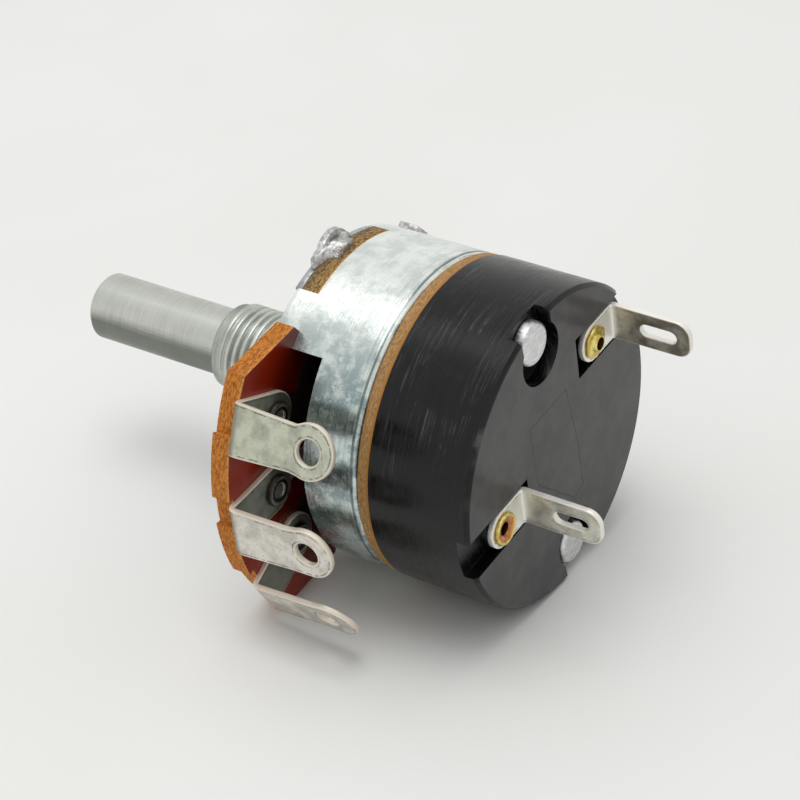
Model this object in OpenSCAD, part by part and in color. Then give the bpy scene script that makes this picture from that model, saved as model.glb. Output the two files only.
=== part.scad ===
// Single-turn carbon potentiometer with a rotary on/off switch behind it.
// The part lies on its side: the shaft points along -Y, +Z is up, and the
// origin is on the shaft's axis at the front face of the mounting plate.
// Modules are drawn with the shaft along Z and the solder tags towards +Y,
// and lie() turns them into place.

/* [Shaft and bushing] */
// Diameter of the shaft
shaft_d = 6; // [5.8:0.05:7]
// Length of the shaft in front of the mounting face
shaft_len = 26; // [14:0.5:40]
// Chamfer at the shaft's tip
shaft_chamfer = 0.5; // [0.1:0.1:1]
// Radial step from the shaft down to the part of it that runs in the bushing
bearing_step = 0.25; // [0.2:0.05:0.25]
// Diameter of the shaft's rear journal
journal_d = 5; // [4.6:0.1:5.2]
// Diameter of the shaft's tail, which turns the switch
tail_d = 3.8; // [3:0.1:4.2]
// Outer diameter of the bushing's thread
bushing_d = 8; // [7.6:0.1:10]
// Length of the bushing in front of the mounting face
bushing_len = 11.7; // [5:0.1:13]
// Length of the plain lead at the bushing's tip
bushing_lead = 1.1; // [0.3:0.1:2]
// Radius by which the lead is smaller than the thread
lead_step = 0.25; // [0.1:0.05:0.3]
// Distance between the thread's turns, which are drawn as rings
thread_pitch = 0.75; // [0.7:0.05:1.5]
// Depth of the grooves between the turns
thread_depth = 0.4; // [0.2:0.05:0.4]
// Radius by which the bushing's neck in the plate is larger than its thread
neck_out = 0.4; // [0.2:0.1:0.6]
// Radius of the flange that is staked behind the plate
flange_r = 5.4; // [5.2:0.1:6]
// Thickness of that flange
flange_t = 0.8; // [0.5:0.1:1]
// Radial running clearance of the shaft
run_gap = 0.05; // [0.03:0.01:0.08]

/* [Mounting plate] */
// Thickness of the mounting plate
plate_t = 0.6; // [0.6:0.1:1]
// How far the plate stays inside the wafer on the side of the tags
plate_inset = 1; // [0.5:0.1:1.5]
// Width of the tongues that stand up beside the wafer
lug_w = 2.1; // [1.6:0.1:2.6]
// Width of the shoulders in front of the two tongues at the sides
lug_shoulder_w = 4.2; // [3:0.1:4.6]
// How far those shoulders stand out past the wafer
lug_shoulder_out = 1.6; // [1:0.1:1.8]
// Thickness of the tongues
lug_t = 0.6; // [0.3:0.1:0.8]
// Distance by which the tongues stop short of the cover
lug_short = 0.6; // [0.2:0.1:1]

/* [Wafer] */
// Thickness of the wafer
wafer_t = 1.8; // [1.4:0.1:2.4]
// How far the wafer's straight sides lie inside its round part
wafer_side_in = 1.4; // [1:0.1:2.4]
// Distance from the tag rivets to the wafer's arc at the tags
wafer_edge = 4.9; // [3.9:0.1:5.4]
// How far the two lobes stand out past that arc
lobe_out = 0.5; // [0.3:0.1:1]
// Angle that each lobe covers
lobe_sweep = 17.5; // [10:0.5:20]
// Angle between the middles of the two lobes
lobe_pitch = 24.6; // [22:0.1:28]
// Angle by which the lobes sit off the tags
lobe_shift = -4; // [-5:0.1:0]

/* [Tracks] */
// Distance from the carbon track to the wafer's round edge
track_margin = 2; // [1.6:0.1:2.4]
// Thickness of the printed track
carbon_t = 0.08; // [0.05:0.01:0.12]
// Width of the pads that join the track to its tags
carbon_pad_w = 3; // [1:0.1:4]
// Distance from the bushing's flange to the collector ring
collector_margin = 0.9; // [0.8:0.1:1.2]
// Width of the collector ring
collector_w = 1.7; // [1.3:0.1:2]
// Gap between the collector ring and the carbon track
track_gap = 0.6; // [0.5:0.1:1]
// Thickness of the collector ring
collector_t = 0.15; // [0.1:0.01:0.2]
// Width of the strip from the ring to its tag
collector_strip_w = 2; // [1:0.1:3]

/* [Solder tags] */
// Thickness of the tag metal
tag_t = 0.5; // [0.3:0.05:0.6]
// Width of a tag
tag_w = 4.4; // [3:0.1:5]
// Angle between neighbouring tags
tag_pitch = 26.5; // [25:0.5:29]
// Direction of the middle tag in the shaft's cross-section
tag_centre = 89; // [88:0.5:92]
// How far the tags' folds stand out past the wafer's arc
tag_bend_out = 1; // [0.8:0.1:2]
// Length of a tag from the wafer to its rounded end
tag_len = 10.1; // [7:0.1:13]
// Radius of the rounded end
tag_end_r = 2.4; // [2.2:0.1:2.8]
// Diameter of the hole in a tag
tag_hole_d = 2.3; // [1.2:0.1:3]
// Angle by which the first tag is bent sideways
first_tag_lean = 7; // [0:0.5:8]
// Angle by which the middle tag is bent sideways
wiper_tag_lean = 4.5; // [0:0.5:6]
// How far outside the cover's wall the tags are riveted
tag_rivet_out = 0.7; // [0.3:0.1:1.6]
// Diameter of a tag rivet's shank
tag_rivet_d = 1.8; // [1.2:0.1:2.2]
// Diameter of a tag rivet's head
tag_rivet_head_d = 2.8; // [2.4:0.1:3.4]
// Height of a tag rivet's head
tag_rivet_head_t = 0.45; // [0.3:0.05:0.5]
// Thickness of a tag rivet's foot
tag_rivet_foot_t = 0.4; // [0.2:0.1:0.5]

/* [Rotor] */
// Room between the wiper carrier's disc and the cover's wall
carrier_room = 2.4; // [2:0.1:3.2]
// Thickness of the wiper carrier's disc
carrier_t = 1.3; // [1:0.1:1.8]
// Radius of the wiper carrier's hub
hub_r = 4.6; // [4:0.1:5.4]
// Height of the hub behind the disc
hub_back = 2; // [1:0.1:2.4]
// Distance from the wafer to the carrier's disc
carrier_gap = 2.9; // [2.6:0.1:3.2]
// Width of a wiper finger
finger_w = 1.4; // [0.8:0.1:1.6]
// Thickness of the wiper's sheet
wiper_t = 0.25; // [0.15:0.05:0.35]
// Travel of the shaft, switch included
turn_range = 300; // [260:5:300]
// Half the angle of the carrier's stop lug
stop_half = 10; // [6:1:12]

/* [Cover] */
// Outer diameter of the cover
cover_d = 27.8; // [27.4:0.1:28.4]
// Depth of the cover
cover_depth = 8.3; // [7.8:0.1:10]
// Thickness of the cover's sheet
cover_t = 0.5; // [0.3:0.05:0.6]
// Outer corner radius at the cover's rear edge
cover_corner = 0.9; // [0.7:0.1:1.4]
// Depth of the cut-out beside the tags
cutout_depth = 3; // [1.5:0.1:3.4]
// Half the angle of that cut-out
cutout_half = 50.4; // [48:0.2:54]
// Angle between the middle of the cut-out and the holding tabs beside it
tab_angle = 64.2; // [62:0.2:68]
// Angle between the point across from the cut-out and the other two holding tabs
far_tab_angle = 56.5; // [50:0.5:60]
// Angle that a holding tab covers
tab_sweep = 14.5; // [10:0.5:15]
// How far a tab is folded in over the front of the wafer
tab_fold = 1.6; // [1:0.1:2.2]
// Outer radius of a tab's fold
tab_corner = 0.6; // [0.3:0.1:0.8]

/* [Insulator and switch housing] */
// Thickness of the insulator
insulator_t = 1.1; // [0.8:0.1:1.6]
// How far the switch housing stands out past the cover
housing_out = 0.1; // [0:0.1:0.6]
// Depth of the switch housing
housing_depth = 9.5; // [9:0.1:12]
// Wall of the switch housing
housing_wall = 1.6; // [1.2:0.1:1.8]
// Thickness of the housing's rear wall
housing_floor = 2.6; // [2.4:0.1:3]
// Bevel of the edge around the rear face
housing_edge = 0.35; // [0.2:0.05:0.6]
// Depth of the channels for the terminals
channel_depth = 1.2; // [0.8:0.1:1.3]
// Width of those channels
channel_w = 4; // [3.8:0.1:4.4]

/* [Housing rivets] */
// Distance from a housing rivet's axis to the housing's rim
rivet_inset = 2.4; // [2:0.1:2.4]
// Direction of the first housing rivet in the cross-section
rivet_angle = 5.6; // [4:0.2:12]
// Diameter of a housing rivet's shank
rivet_d = 2; // [1.4:0.1:2.2]
// Diameter of a housing rivet's head
rivet_head_d = 3.8; // [3:0.1:4]
// Height of a housing rivet's head
rivet_head_t = 1.1; // [0.8:0.1:1.3]
// Thickness of a housing rivet's foot inside the cover
rivet_foot_t = 0.5; // [0.3:0.1:0.6]
// Radius of the pocket around a rivet's head
pocket_r = 2.7; // [2.6:0.1:3.2]
// How far the pocket's middle lies inside the rivet
pocket_in = 0.9; // [0:0.1:1]
// Depth of that pocket
pocket_depth = 1.4; // [1:0.1:1.6]

/* [Switch terminals] */
// Thickness of the terminals
terminal_t = 0.5; // [0.3:0.05:0.6]
// Width of a terminal
terminal_w = 3.65; // [3:0.05:3.75]
// Length of a terminal's arm behind the rear face
terminal_len = 7.4; // [5:0.1:10]
// Radius of the arm's corners
terminal_corner = 1.3; // [0.5:0.1:1.4]
// Distance from a terminal's eyelet to the housing's rim
contact_inset = 4.8; // [4.4:0.1:5.2]
// Distance from the eyelet to the terminal's fold
terminal_reach = 3.5; // [2.6:0.1:3.6]
// Length of the slot in a terminal
slot_len = 3.5; // [2:0.1:4.5]
// Width of that slot
slot_w = 1.2; // [0.8:0.1:1.8]
// Distance from the arm's end to the slot
slot_end = 1.5; // [1:0.1:2]
// Diameter of an eyelet's shank
eyelet_d = 1.9; // [1.4:0.1:2]
// Diameter of an eyelet's flange
eyelet_flange_d = 2.7; // [2.3:0.1:3]
// Diameter of the hole through an eyelet
eyelet_bore = 1; // [0.6:0.1:1.2]
// Thickness of an eyelet's flange inside the housing
eyelet_flange_t = 0.4; // [0.3:0.1:0.6]

/* [Switch works] */
// Radius of the driver on the shaft's tail
driver_r = 3.6; // [3.3:0.1:3.8]
// Thickness of that driver
driver_t = 1.2; // [0.8:0.1:1.6]
// Radius on which its drive pin sits
drive_pin_place = 2.4; // [2.2:0.1:2.6]
// Diameter of the drive pin
drive_pin_d = 1.4; // [1:0.1:1.6]
// Thickness of the lever
lever_t = 1.4; // [1:0.1:1.6]
// Width of the lever's arm
lever_w = 3.8; // [3.2:0.1:4]
// Diameter of the lever's pivot post
pivot_d = 2; // [1.6:0.1:2.2]
// Distance from the lever's pivot to the inside of the housing's wall
pivot_inset = 6.2; // [6:0.1:6.6]
// Length of the lever's tail, which the detent spring clicks on
lever_tail = 3.6; // [3.4:0.1:4]
// Throw of the lever from off to on
lever_throw = 20; // [14:1:22]
// Thickness of the contact bridge
bridge_t = 0.35; // [0.2:0.05:0.4]
// Width of the contact bridge
bridge_w = 1.8; // [1.2:0.1:2]
// Radius of a contact button
contact_r = 0.9; // [0.6:0.1:1]
// Height of a contact button
contact_h = 0.4; // [0.3:0.05:0.5]

/* [Hidden] */
$fn = 72;

// Overlap that makes a cut break cleanly through a face
eps = 0.05;
// Clearance of fixed pins and rivets in their holes
fit_gap = 0.05;
// Clearance between moving faces that touch on the real part
slide_gap = 0.1;

// Heights along the shaft, from the mounting face to the rear
wafer_z = plate_t;
track_z = wafer_z + wafer_t;
insulator_z = track_z + cover_depth;
housing_z = insulator_z + insulator_t;
rear_z = housing_z + housing_depth;
floor_z = rear_z - housing_floor;

// Plate and wafer stand in front of the cover's rim, held by its tabs
cover_inner_r = cover_d / 2 - cover_t;
disc_inset = 0.1;
disc_r = cover_d / 2 - disc_inset;
plate_r = disc_r - disc_inset;
wafer_half_w = disc_r - wafer_side_in;
tag_rivet_r = cover_d / 2 + tag_rivet_out;
wafer_arc_r = tag_rivet_r + wafer_edge;
plate_arc_r = wafer_arc_r - plate_inset;
tag_bend_r = wafer_arc_r + tag_bend_out;
// Room around the feet of the tag rivets, which the plate doesn't touch
foot_clearance = 1;
// Depth of the notches in the wafer and the plate behind and beside the holding tabs
notch_depth = 0.2;
// Middles of the four holding tabs
tab_sides = [90 - tab_angle, 90 + tab_angle, 270 - far_tab_angle, 270 + far_tab_angle];
fold_z = plate_t - fit_gap - cover_t;
fold_r = cover_inner_r - tab_fold;

// Directions of the three tags, and how far each one is bent sideways
tag_angles = [tag_centre + tag_pitch, tag_centre, tag_centre - tag_pitch];
tag_leans = [-first_tag_lean, -wiper_tag_lean, 0];

// The tracks lie one round the other, between the bushing's flange and the wafer's edge
collector_inner_r = flange_r + collector_margin;
collector_outer_r = collector_inner_r + collector_w;
carbon_inner_r = collector_outer_r + track_gap;
carbon_outer_r = cover_inner_r - track_margin;

// The part rests on the housing and on one corner of the wafer
housing_d = cover_d + 2 * housing_out;
corner_y = sqrt(wafer_arc_r * wafer_arc_r - wafer_half_w * wafer_half_w);
lie_roll = -atan2(wafer_half_w, corner_y) - acos(housing_d / 2 / wafer_arc_r);

// Directions of the plate's lugs: two with shoulders at its sides, and two across from the tags
side_lugs = [-3.3, 183.3];
far_lugs = [232.5, 307.5];

// The shaft's bearing, and the washer and clip that hold the shaft in it
bearing_r = shaft_d / 2 - bearing_step;
bearing_z = -bushing_len - slide_gap;
bore_r = bearing_r + run_gap;
neck_r = bushing_d / 2 + neck_out;
boss_short = 0.3;
boss_z = track_z - boss_short;
washer_t = 0.4;
washer_inset = 0.4;
washer_r = flange_r - washer_inset;
washer_z = boss_z + fit_gap;
clip_t = 0.6;
clip_inset = 0.6;
clip_r = washer_r - clip_inset;
clip_groove_depth = 0.5;
clip_groove_r = journal_d / 2 - clip_groove_depth;
clip_mouth_share = 0.8;
clip_mouth = clip_mouth_share * 2 * clip_groove_r;
clip_relief_r = 0.6;
clip_z = washer_z + washer_t + fit_gap;

// The wiper carrier, and the stop lug that it swings between
carrier_z = track_z + carrier_gap;
carrier_r = cover_inner_r - carrier_room;
hub_z = clip_z + clip_t + 2 * fit_gap;
hub_top = carrier_z + carrier_t + hub_back;
rotor_rest = 90 - turn_range / 2;
stop_clearance = 0.5;
stop_gap = 0.6;
stop_r = carrier_r + stop_gap;
stop_outer_r = cover_inner_r - stop_clearance;
// Angle that the carrier's lug could still turn past the end of its travel
stop_spare = 1.5;
stop_tab_half = (360 - turn_range) / 2 - stop_half - stop_spare;
// Rim left on the cover between its lug and the edge of the lug's window
window_rim = 2;

// The driver, which is seated on the shaft's tail
driver_lift = 0.3;
driver_z = housing_z + driver_lift;
tail_end_z = driver_z + driver_t;
driver_clearance = 0.6;

// Housing rivets and the posts around them
rivet_r = housing_d / 2 - rivet_inset;
rivet_post_wall = 1.2;
rivet_post_r = rivet_d / 2 + rivet_post_wall;
rivet_bevel = 0.25;
// Half the width with which a rivet's pocket opens at the rim
pocket_mouth = rivet_head_d / 2 + rivet_bevel;
foot_rim = 0.4;

// Places of the two switch contacts in the cross-section
contact_angles = [-46.3, 98.9];
contact_place_r = housing_d / 2 - contact_inset;
contact_places = [for (a = contact_angles) contact_place_r * [cos(a), sin(a)]];
contact_mid = (contact_places[0] + contact_places[1]) / 2;
contact_span = norm(contact_places[1] - contact_places[0]);
bridge_angle = (contact_angles[0] + contact_angles[1]) / 2 + 90;
bridge_z = floor_z - eyelet_flange_t - slide_gap - contact_h - bridge_t;

// The lever turns on a post beside the shaft, on the far side from the bridge
pivot_angle = bridge_angle + 90;
pivot_far = housing_d / 2 - housing_wall - pivot_inset;
pivot_place = pivot_far * [cos(pivot_angle), sin(pivot_angle)];
lever_reach = pivot_far + norm(contact_mid);
pivot_wall = 1.4;
pivot_tip = 0.4;
lever_z = bridge_z - lever_t;
lever_tail_w = 1.6;
crosshead_len = 6;
drive_pin_top = lever_z - 2 * slide_gap;
drive_lead = asin(min(0.9, (pivot_far - drive_pin_place) * sin(lever_throw / 2) / drive_pin_place));

// The detent spring stands just past the lever's tail, halfway through its throw
detent_angle = bridge_angle + 90 + lever_throw / 2;
detent_near = lever_tail + 3 * slide_gap;
detent_t = 0.3;
detent_half_w = 1.4;
detent_leg = 1.3;
detent_spread = 1;
detent_post_r = 0.6;
detent_post_room = 0.4;
detent_post_half = 3.2;

// Turns a module from its own frame into the part's frame
module lie() {
  rotate([0, lie_roll, 0]) rotate([-90, 0, 0]) children();
}

// Moves its children to a place in the cross-section
module at(place) {
  translate([place[0], place[1], 0]) children();
}

// A ring sector between two radii, from one angle to another
module sector(inner_r, outer_r, from, to, height) {
  rotate([0, 0, from]) rotate_extrude(angle = to - from)
    translate([inner_r, 0]) square([outer_r - inner_r, height]);
}

// Outline of the wafer or the plate: a disc that runs out to the tags
module body_outline(round_r, arc_r, half_w) {
  circle(r = round_r);
  intersection() {
    circle(r = arc_r);
    translate([-half_w, 0]) square([2 * half_w, arc_r]);
  }
}

// Cuts for the four holding tabs
module tab_notches(from_r, height) {
  for (a = tab_sides)
    translate([0, 0, -eps])
      sector(from_r, wafer_arc_r, a - tab_sweep / 2, a + tab_sweep / 2, height + 2 * eps);
}

module shaft() {
  color("silver") lie() difference() {
    translate([0, 0, -shaft_len]) rotate_extrude() polygon([
      [0, 0],
      [shaft_d / 2 - shaft_chamfer, 0],
      [shaft_d / 2, shaft_chamfer],
      [shaft_d / 2, shaft_len + bearing_z],
      [bearing_r, shaft_len + bearing_z],
      [bearing_r, shaft_len + boss_z],
      [journal_d / 2, shaft_len + boss_z],
      [journal_d / 2, shaft_len + hub_top],
      [tail_d / 2, shaft_len + hub_top],
      [tail_d / 2, shaft_len + tail_end_z],
      [0, shaft_len + tail_end_z]]);
    translate([0, 0, clip_z - fit_gap]) difference() {
      cylinder(r = journal_d, h = clip_t + 2 * fit_gap);
      translate([0, 0, -eps]) cylinder(r = clip_groove_r, h = clip_t + 2 * fit_gap + 2 * eps);
    }
  }
}

module bushing() {
  lead_r = bushing_d / 2 - lead_step;
  crest_share = 0.4;
  crest_half = crest_share * thread_pitch / 2;
  turns = floor((bushing_len - bushing_lead) / thread_pitch);
  color("gainsboro") lie() difference() {
    union() {
      translate([0, 0, -bushing_len])
        cylinder(r1 = lead_r - lead_step, r2 = lead_r, h = lead_step);
      translate([0, 0, lead_step - bushing_len]) cylinder(r = lead_r, h = bushing_lead);
      translate([0, 0, bushing_lead - bushing_len])
        cylinder(r = bushing_d / 2, h = bushing_len - bushing_lead + boss_z);
      cylinder(r = neck_r, h = boss_z);
      translate([0, 0, wafer_z + fit_gap]) cylinder(r = flange_r, h = flange_t);
    }
    translate([0, 0, -bushing_len - eps])
      cylinder(r = bore_r, h = bushing_len + boss_z + 2 * eps);
    translate([0, 0, -thread_pitch / 2]) rotate_extrude() for (i = [0:turns - 1])
      translate([bushing_d / 2, -i * thread_pitch]) polygon([
        [-thread_depth, 0],
        [eps, crest_half - thread_pitch / 2],
        [eps, thread_pitch / 2 - crest_half]]);
  }
}

module front_plate() {
  color("lightsteelblue") lie() difference() {
    union() {
      linear_extrude(plate_t) body_outline(plate_r, plate_arc_r, wafer_half_w - plate_inset);
      for (a = side_lugs) rotate([0, 0, a]) plate_lug(lug_shoulder_w, disc_r + lug_shoulder_out);
      for (a = far_lugs) rotate([0, 0, a]) plate_lug(lug_w, disc_r + fit_gap + lug_t);
    }
    translate([0, 0, -eps]) cylinder(r = neck_r + fit_gap, h = plate_t + 2 * eps);
    for (a = tag_angles) rotate([0, 0, a]) translate([tag_rivet_r, 0, -eps])
      cylinder(r = tag_rivet_head_d / 2 + foot_clearance, h = plate_t + 2 * eps);
    tab_notches(fold_r - notch_depth, plate_t);
  }
}

// A lug of the plate: a round-ended shoulder, and a tongue bent up beside the wafer's edge
module plate_lug(width, reach) {
  translate([reach - width / 2, 0, 0]) cylinder(d = width, h = plate_t);
  translate([disc_r + fit_gap, -lug_w / 2, 0]) cube([lug_t, lug_w, track_z - lug_short]);
}

module wafer() {
  color("chocolate") lie() translate([0, 0, wafer_z]) difference() {
    linear_extrude(wafer_t) {
      body_outline(disc_r, wafer_arc_r, wafer_half_w);
      for (side = [-1, 1]) lobe(90 + side * lobe_pitch / 2 + lobe_shift);
    }
    translate([0, 0, -eps]) cylinder(r = flange_r + fit_gap, h = wafer_t + 2 * eps);
    for (a = tag_angles) rotate([0, 0, a]) translate([tag_rivet_r, 0, -eps])
      cylinder(d = tag_rivet_d + 2 * fit_gap, h = wafer_t + 2 * eps);
    tab_notches(cover_inner_r - notch_depth, wafer_t);
  }
}

// A lobe of the wafer between two tags
module lobe(angle) {
  far = wafer_arc_r + 2 * lobe_out;
  intersection() {
    circle(r = wafer_arc_r + lobe_out);
    rotate(angle) polygon([
      [wafer_arc_r / 2, 0],
      [far, -far * tan(lobe_sweep / 2)],
      [far, far * tan(lobe_sweep / 2)]]);
  }
}

// The printed track, with a pad under each end that runs out to its tag
module carbon_track() {
  pad_l = tag_rivet_r - tag_w / 2 - slide_gap - carbon_inner_r;
  color("black") lie() translate([0, 0, track_z]) {
    sector(carbon_inner_r, carbon_outer_r, tag_angles[0] + 1, tag_angles[2] + 359, carbon_t);
    for (a = [tag_angles[0], tag_angles[2]]) rotate([0, 0, a])
      translate([carbon_inner_r, -carbon_pad_w / 2, 0]) cube([pad_l, carbon_pad_w, carbon_t]);
  }
}

module collector_ring() {
  strip_l = tag_rivet_r - tag_w / 2 - slide_gap - collector_inner_r;
  color("silver") lie() translate([0, 0, track_z]) difference() {
    union() {
      cylinder(r = collector_outer_r, h = collector_t);
      rotate([0, 0, tag_centre]) translate([collector_inner_r, -collector_strip_w / 2, 0])
        cube([strip_l, collector_strip_w, collector_t]);
    }
    translate([0, 0, -eps]) cylinder(r = collector_inner_r, h = collector_t + 2 * eps);
  }
}

// A solder tag: an eye under its rivet, a strip to the wafer's edge and a folded arm
module tag(angle, lean) {
  base_l = tag_bend_r - tag_rivet_r;
  arm_l = tag_len - tag_end_r;
  drift = arm_l * tan(lean);
  color("lightgray") lie() rotate([0, 0, angle]) translate([tag_rivet_r, 0, track_z]) {
    difference() {
      union() {
        cylinder(d = tag_w, h = tag_t);
        translate([0, -tag_w / 2, 0]) cube([base_l, tag_w, tag_t]);
      }
      translate([0, 0, -eps]) cylinder(d = tag_rivet_d + 2 * fit_gap, h = tag_t + 2 * eps);
    }
    translate([base_l - tag_t, 0, 0]) rotate([90, 0, 90]) linear_extrude(tag_t) difference() {
      union() {
        polygon([
          [-tag_w / 2, 0],
          [tag_w / 2, 0],
          [tag_w / 2 + drift, arm_l],
          [-tag_w / 2 + drift, arm_l]]);
        translate([drift, arm_l]) circle(r = tag_end_r);
      }
      translate([drift, arm_l]) circle(d = tag_hole_d);
    }
  }
}

module tag_first() {
  tag(tag_angles[0], tag_leans[0]);
}

module tag_wiper() {
  tag(tag_angles[1], tag_leans[1]);
}

module tag_last() {
  tag(tag_angles[2], tag_leans[2]);
}

module tag_rivets() {
  dimple_d = 0.8 * tag_rivet_d;
  dimple_depth = 0.4 * tag_rivet_head_t;
  color("whitesmoke") lie() for (a = tag_angles)
    rotate([0, 0, a]) translate([tag_rivet_r, 0, wafer_z]) {
      translate([0, 0, -tag_rivet_foot_t]) cylinder(d = tag_rivet_head_d, h = tag_rivet_foot_t);
      translate([0, 0, -eps]) cylinder(d = tag_rivet_d, h = wafer_t + tag_t + 2 * eps);
      translate([0, 0, wafer_t + tag_t]) difference() {
        cylinder(d = tag_rivet_head_d, h = tag_rivet_head_t);
        translate([0, 0, tag_rivet_head_t - dimple_depth]) cylinder(d = dimple_d, h = tag_rivet_head_t);
      }
    }
}

module thrust_washer() {
  color("goldenrod") lie() translate([0, 0, washer_z]) difference() {
    cylinder(r = washer_r, h = washer_t);
    translate([0, 0, -eps]) cylinder(r = journal_d / 2 + fit_gap, h = washer_t + 2 * eps);
  }
}

module retaining_clip() {
  cut_h = clip_t + 2 * eps;
  relief_y = clip_groove_r + clip_relief_r / 2;
  color("dimgray") lie() translate([0, 0, clip_z]) difference() {
    cylinder(r = clip_r, h = clip_t);
    translate([0, 0, -eps]) cylinder(r = clip_groove_r + fit_gap, h = cut_h);
    translate([0, -clip_mouth / 2, -eps]) cube([2 * clip_r, clip_mouth, cut_h]);
    for (side = [-1, 1]) translate([0, side * relief_y, -eps]) cylinder(r = clip_relief_r, h = cut_h);
  }
}

// At rest the rotor's lug stands against the side of the cover's stop where it is off
module wiper_carrier() {
  lug_root = 1;
  color("saddlebrown") lie() difference() {
    union() {
      translate([0, 0, carrier_z]) cylinder(r = carrier_r, h = carrier_t);
      translate([0, 0, hub_z]) cylinder(r = hub_r, h = hub_top - hub_z);
      rotate([0, 0, rotor_rest]) translate([0, 0, carrier_z])
        sector(carrier_r - lug_root, stop_outer_r, -stop_half, stop_half, carrier_t);
    }
    translate([0, 0, hub_z - eps])
      cylinder(r = journal_d / 2 + fit_gap, h = hub_top - hub_z + 2 * eps);
  }
}

module wiper_spring() {
  mid_carbon = (carbon_inner_r + carbon_outer_r) / 2;
  mid_ring = (collector_inner_r + collector_outer_r) / 2;
  sheet_z = carrier_z - wiper_t;
  hub_gap = 0.4;
  sheet_near = hub_r + hub_gap;
  sheet_w = 1.7;
  finger_root = 2.3;
  color("peru") lie() rotate([0, 0, rotor_rest + 180]) {
    translate([sheet_near, -finger_root - sheet_w + wiper_t, sheet_z])
      cube([mid_carbon + finger_w / 2 - sheet_near, sheet_w, wiper_t]);
    finger(mid_carbon, track_z + carbon_t + slide_gap, sheet_z, finger_root);
    finger(mid_ring, track_z + collector_t + slide_gap, sheet_z, finger_root);
  }
}

// A wiper finger: a strip bent down to its track, with a short upturned tip
module finger(radius, bottom, top, root) {
  heel = 0.4;
  tip = 1.2;
  tip_rise = 0.9;
  translate([radius - finger_w / 2, 0, 0]) rotate([90, 0, 90]) linear_extrude(finger_w) polygon([
    [-root, top],
    [-root, top + wiper_t],
    [heel, bottom + wiper_t],
    [tip, bottom + tip_rise],
    [tip + wiper_t, bottom + tip_rise - wiper_t / 2],
    [heel + wiper_t, bottom],
    [heel - wiper_t, bottom]]);
}

// A drawn cup with four holding tabs at its mouth and a stop lug lanced from its rear wall
module cover() {
  outer_r = cover_d / 2;
  height = insulator_z - fold_z;
  cut_past = 1;
  cut_in_r = fold_r - cut_past;
  cut_out_r = outer_r + cut_past;
  hole_past = 1;
  window_past = 2;
  lug_len = insulator_z - carrier_z;
  color("azure") lie() difference() {
    union() {
      translate([0, 0, fold_z]) rotate_extrude() difference() {
        union() {
          square([outer_r - cover_corner, height]);
          square([outer_r - tab_corner, height - cover_corner]);
          translate([0, tab_corner]) square([outer_r, height - cover_corner - tab_corner]);
          translate([outer_r - cover_corner, height - cover_corner]) circle(r = cover_corner);
          translate([outer_r - tab_corner, tab_corner]) circle(r = tab_corner);
        }
        translate([-eps, cover_t]) square([cover_inner_r + eps, height - 2 * cover_t]);
        translate([-eps, -eps]) square([fold_r + eps, 2 * cover_t]);
        translate([-eps, -eps]) square([driver_r + hole_past + eps, height + 2 * eps]);
      }
      rotate([0, 0, 270]) translate([0, 0, carrier_z])
        sector(stop_r, stop_r + cover_t, -stop_tab_half, stop_tab_half, lug_len - cover_t / 2);
    }
    for (i = [0:3]) {
      start = tab_sides[i] + tab_sweep / 2;
      end = tab_sides[(i + 1) % 4] - tab_sweep / 2 + (i == 3 ? 360 : 0);
      translate([0, 0, fold_z - eps]) sector(cut_in_r, cut_out_r, start, end, track_z - fold_z + eps);
    }
    translate([0, 0, fold_z])
      sector(cut_in_r, cut_out_r, 90 - cutout_half, 90 + cutout_half, track_z - fold_z + cutout_depth);
    translate([0, 0, insulator_z - cover_t - eps]) {
      rivet_holes(cover_t + 2 * eps);
      rotate([0, 0, 270])
        sector(max(driver_r + window_past, stop_r - lug_len), stop_r + slide_gap,
               window_rim - stop_tab_half, stop_tab_half - window_rim, cover_t + 2 * eps);
    }
  }
}

// The two holes for the housing rivets
module rivet_holes(height) {
  for (a = [0, 180]) rotate([0, 0, rivet_angle + a]) translate([rivet_r, 0, 0])
    cylinder(d = rivet_d + 2 * fit_gap, h = height);
}

module insulator() {
  color("peru") lie() translate([0, 0, insulator_z]) difference() {
    cylinder(d = cover_d, h = insulator_t);
    translate([0, 0, -eps]) cylinder(r = driver_r + driver_clearance, h = insulator_t + 2 * eps);
    translate([0, 0, -eps]) rivet_holes(insulator_t + 2 * eps);
  }
}

// Cross-section of the housing's hollow, with the posts around the rivets left standing
module hollow_outline() {
  difference() {
    circle(r = housing_d / 2 - housing_wall);
    for (a = [0, 180]) rotate(rivet_angle + a) translate([rivet_r, 0]) {
      circle(r = rivet_post_r);
      translate([0, -rivet_post_r]) square([rivet_inset, 2 * rivet_post_r]);
    }
  }
}

module switch_housing() {
  outer_r = housing_d / 2;
  color("dimgray") lie() difference() {
    union() {
      difference() {
        translate([0, 0, housing_z]) rotate_extrude() polygon([
          [0, 0],
          [outer_r, 0],
          [outer_r, housing_depth - housing_edge],
          [outer_r - housing_edge, housing_depth],
          [0, housing_depth]]);
        translate([0, 0, housing_z - eps]) linear_extrude(floor_z - housing_z + eps) hollow_outline();
      }
      at(pivot_place) translate([0, 0, lever_z - pivot_tip])
        cylinder(d = pivot_d, h = floor_z - lever_z + pivot_tip + eps);
      detent_posts();
    }
    translate([0, 0, housing_z - eps]) rivet_holes(housing_depth + 2 * eps);
    for (a = [0, 180]) rotate([0, 0, rivet_angle + a])
      translate([rivet_r - pocket_in, 0, rear_z - pocket_depth]) {
        cylinder(r = pocket_r, h = pocket_depth + eps);
        translate([0, -pocket_mouth, 0]) cube([outer_r, 2 * pocket_mouth, pocket_depth + eps]);
      }
    for (place = contact_places) terminal_channel(place);
  }
}

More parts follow.
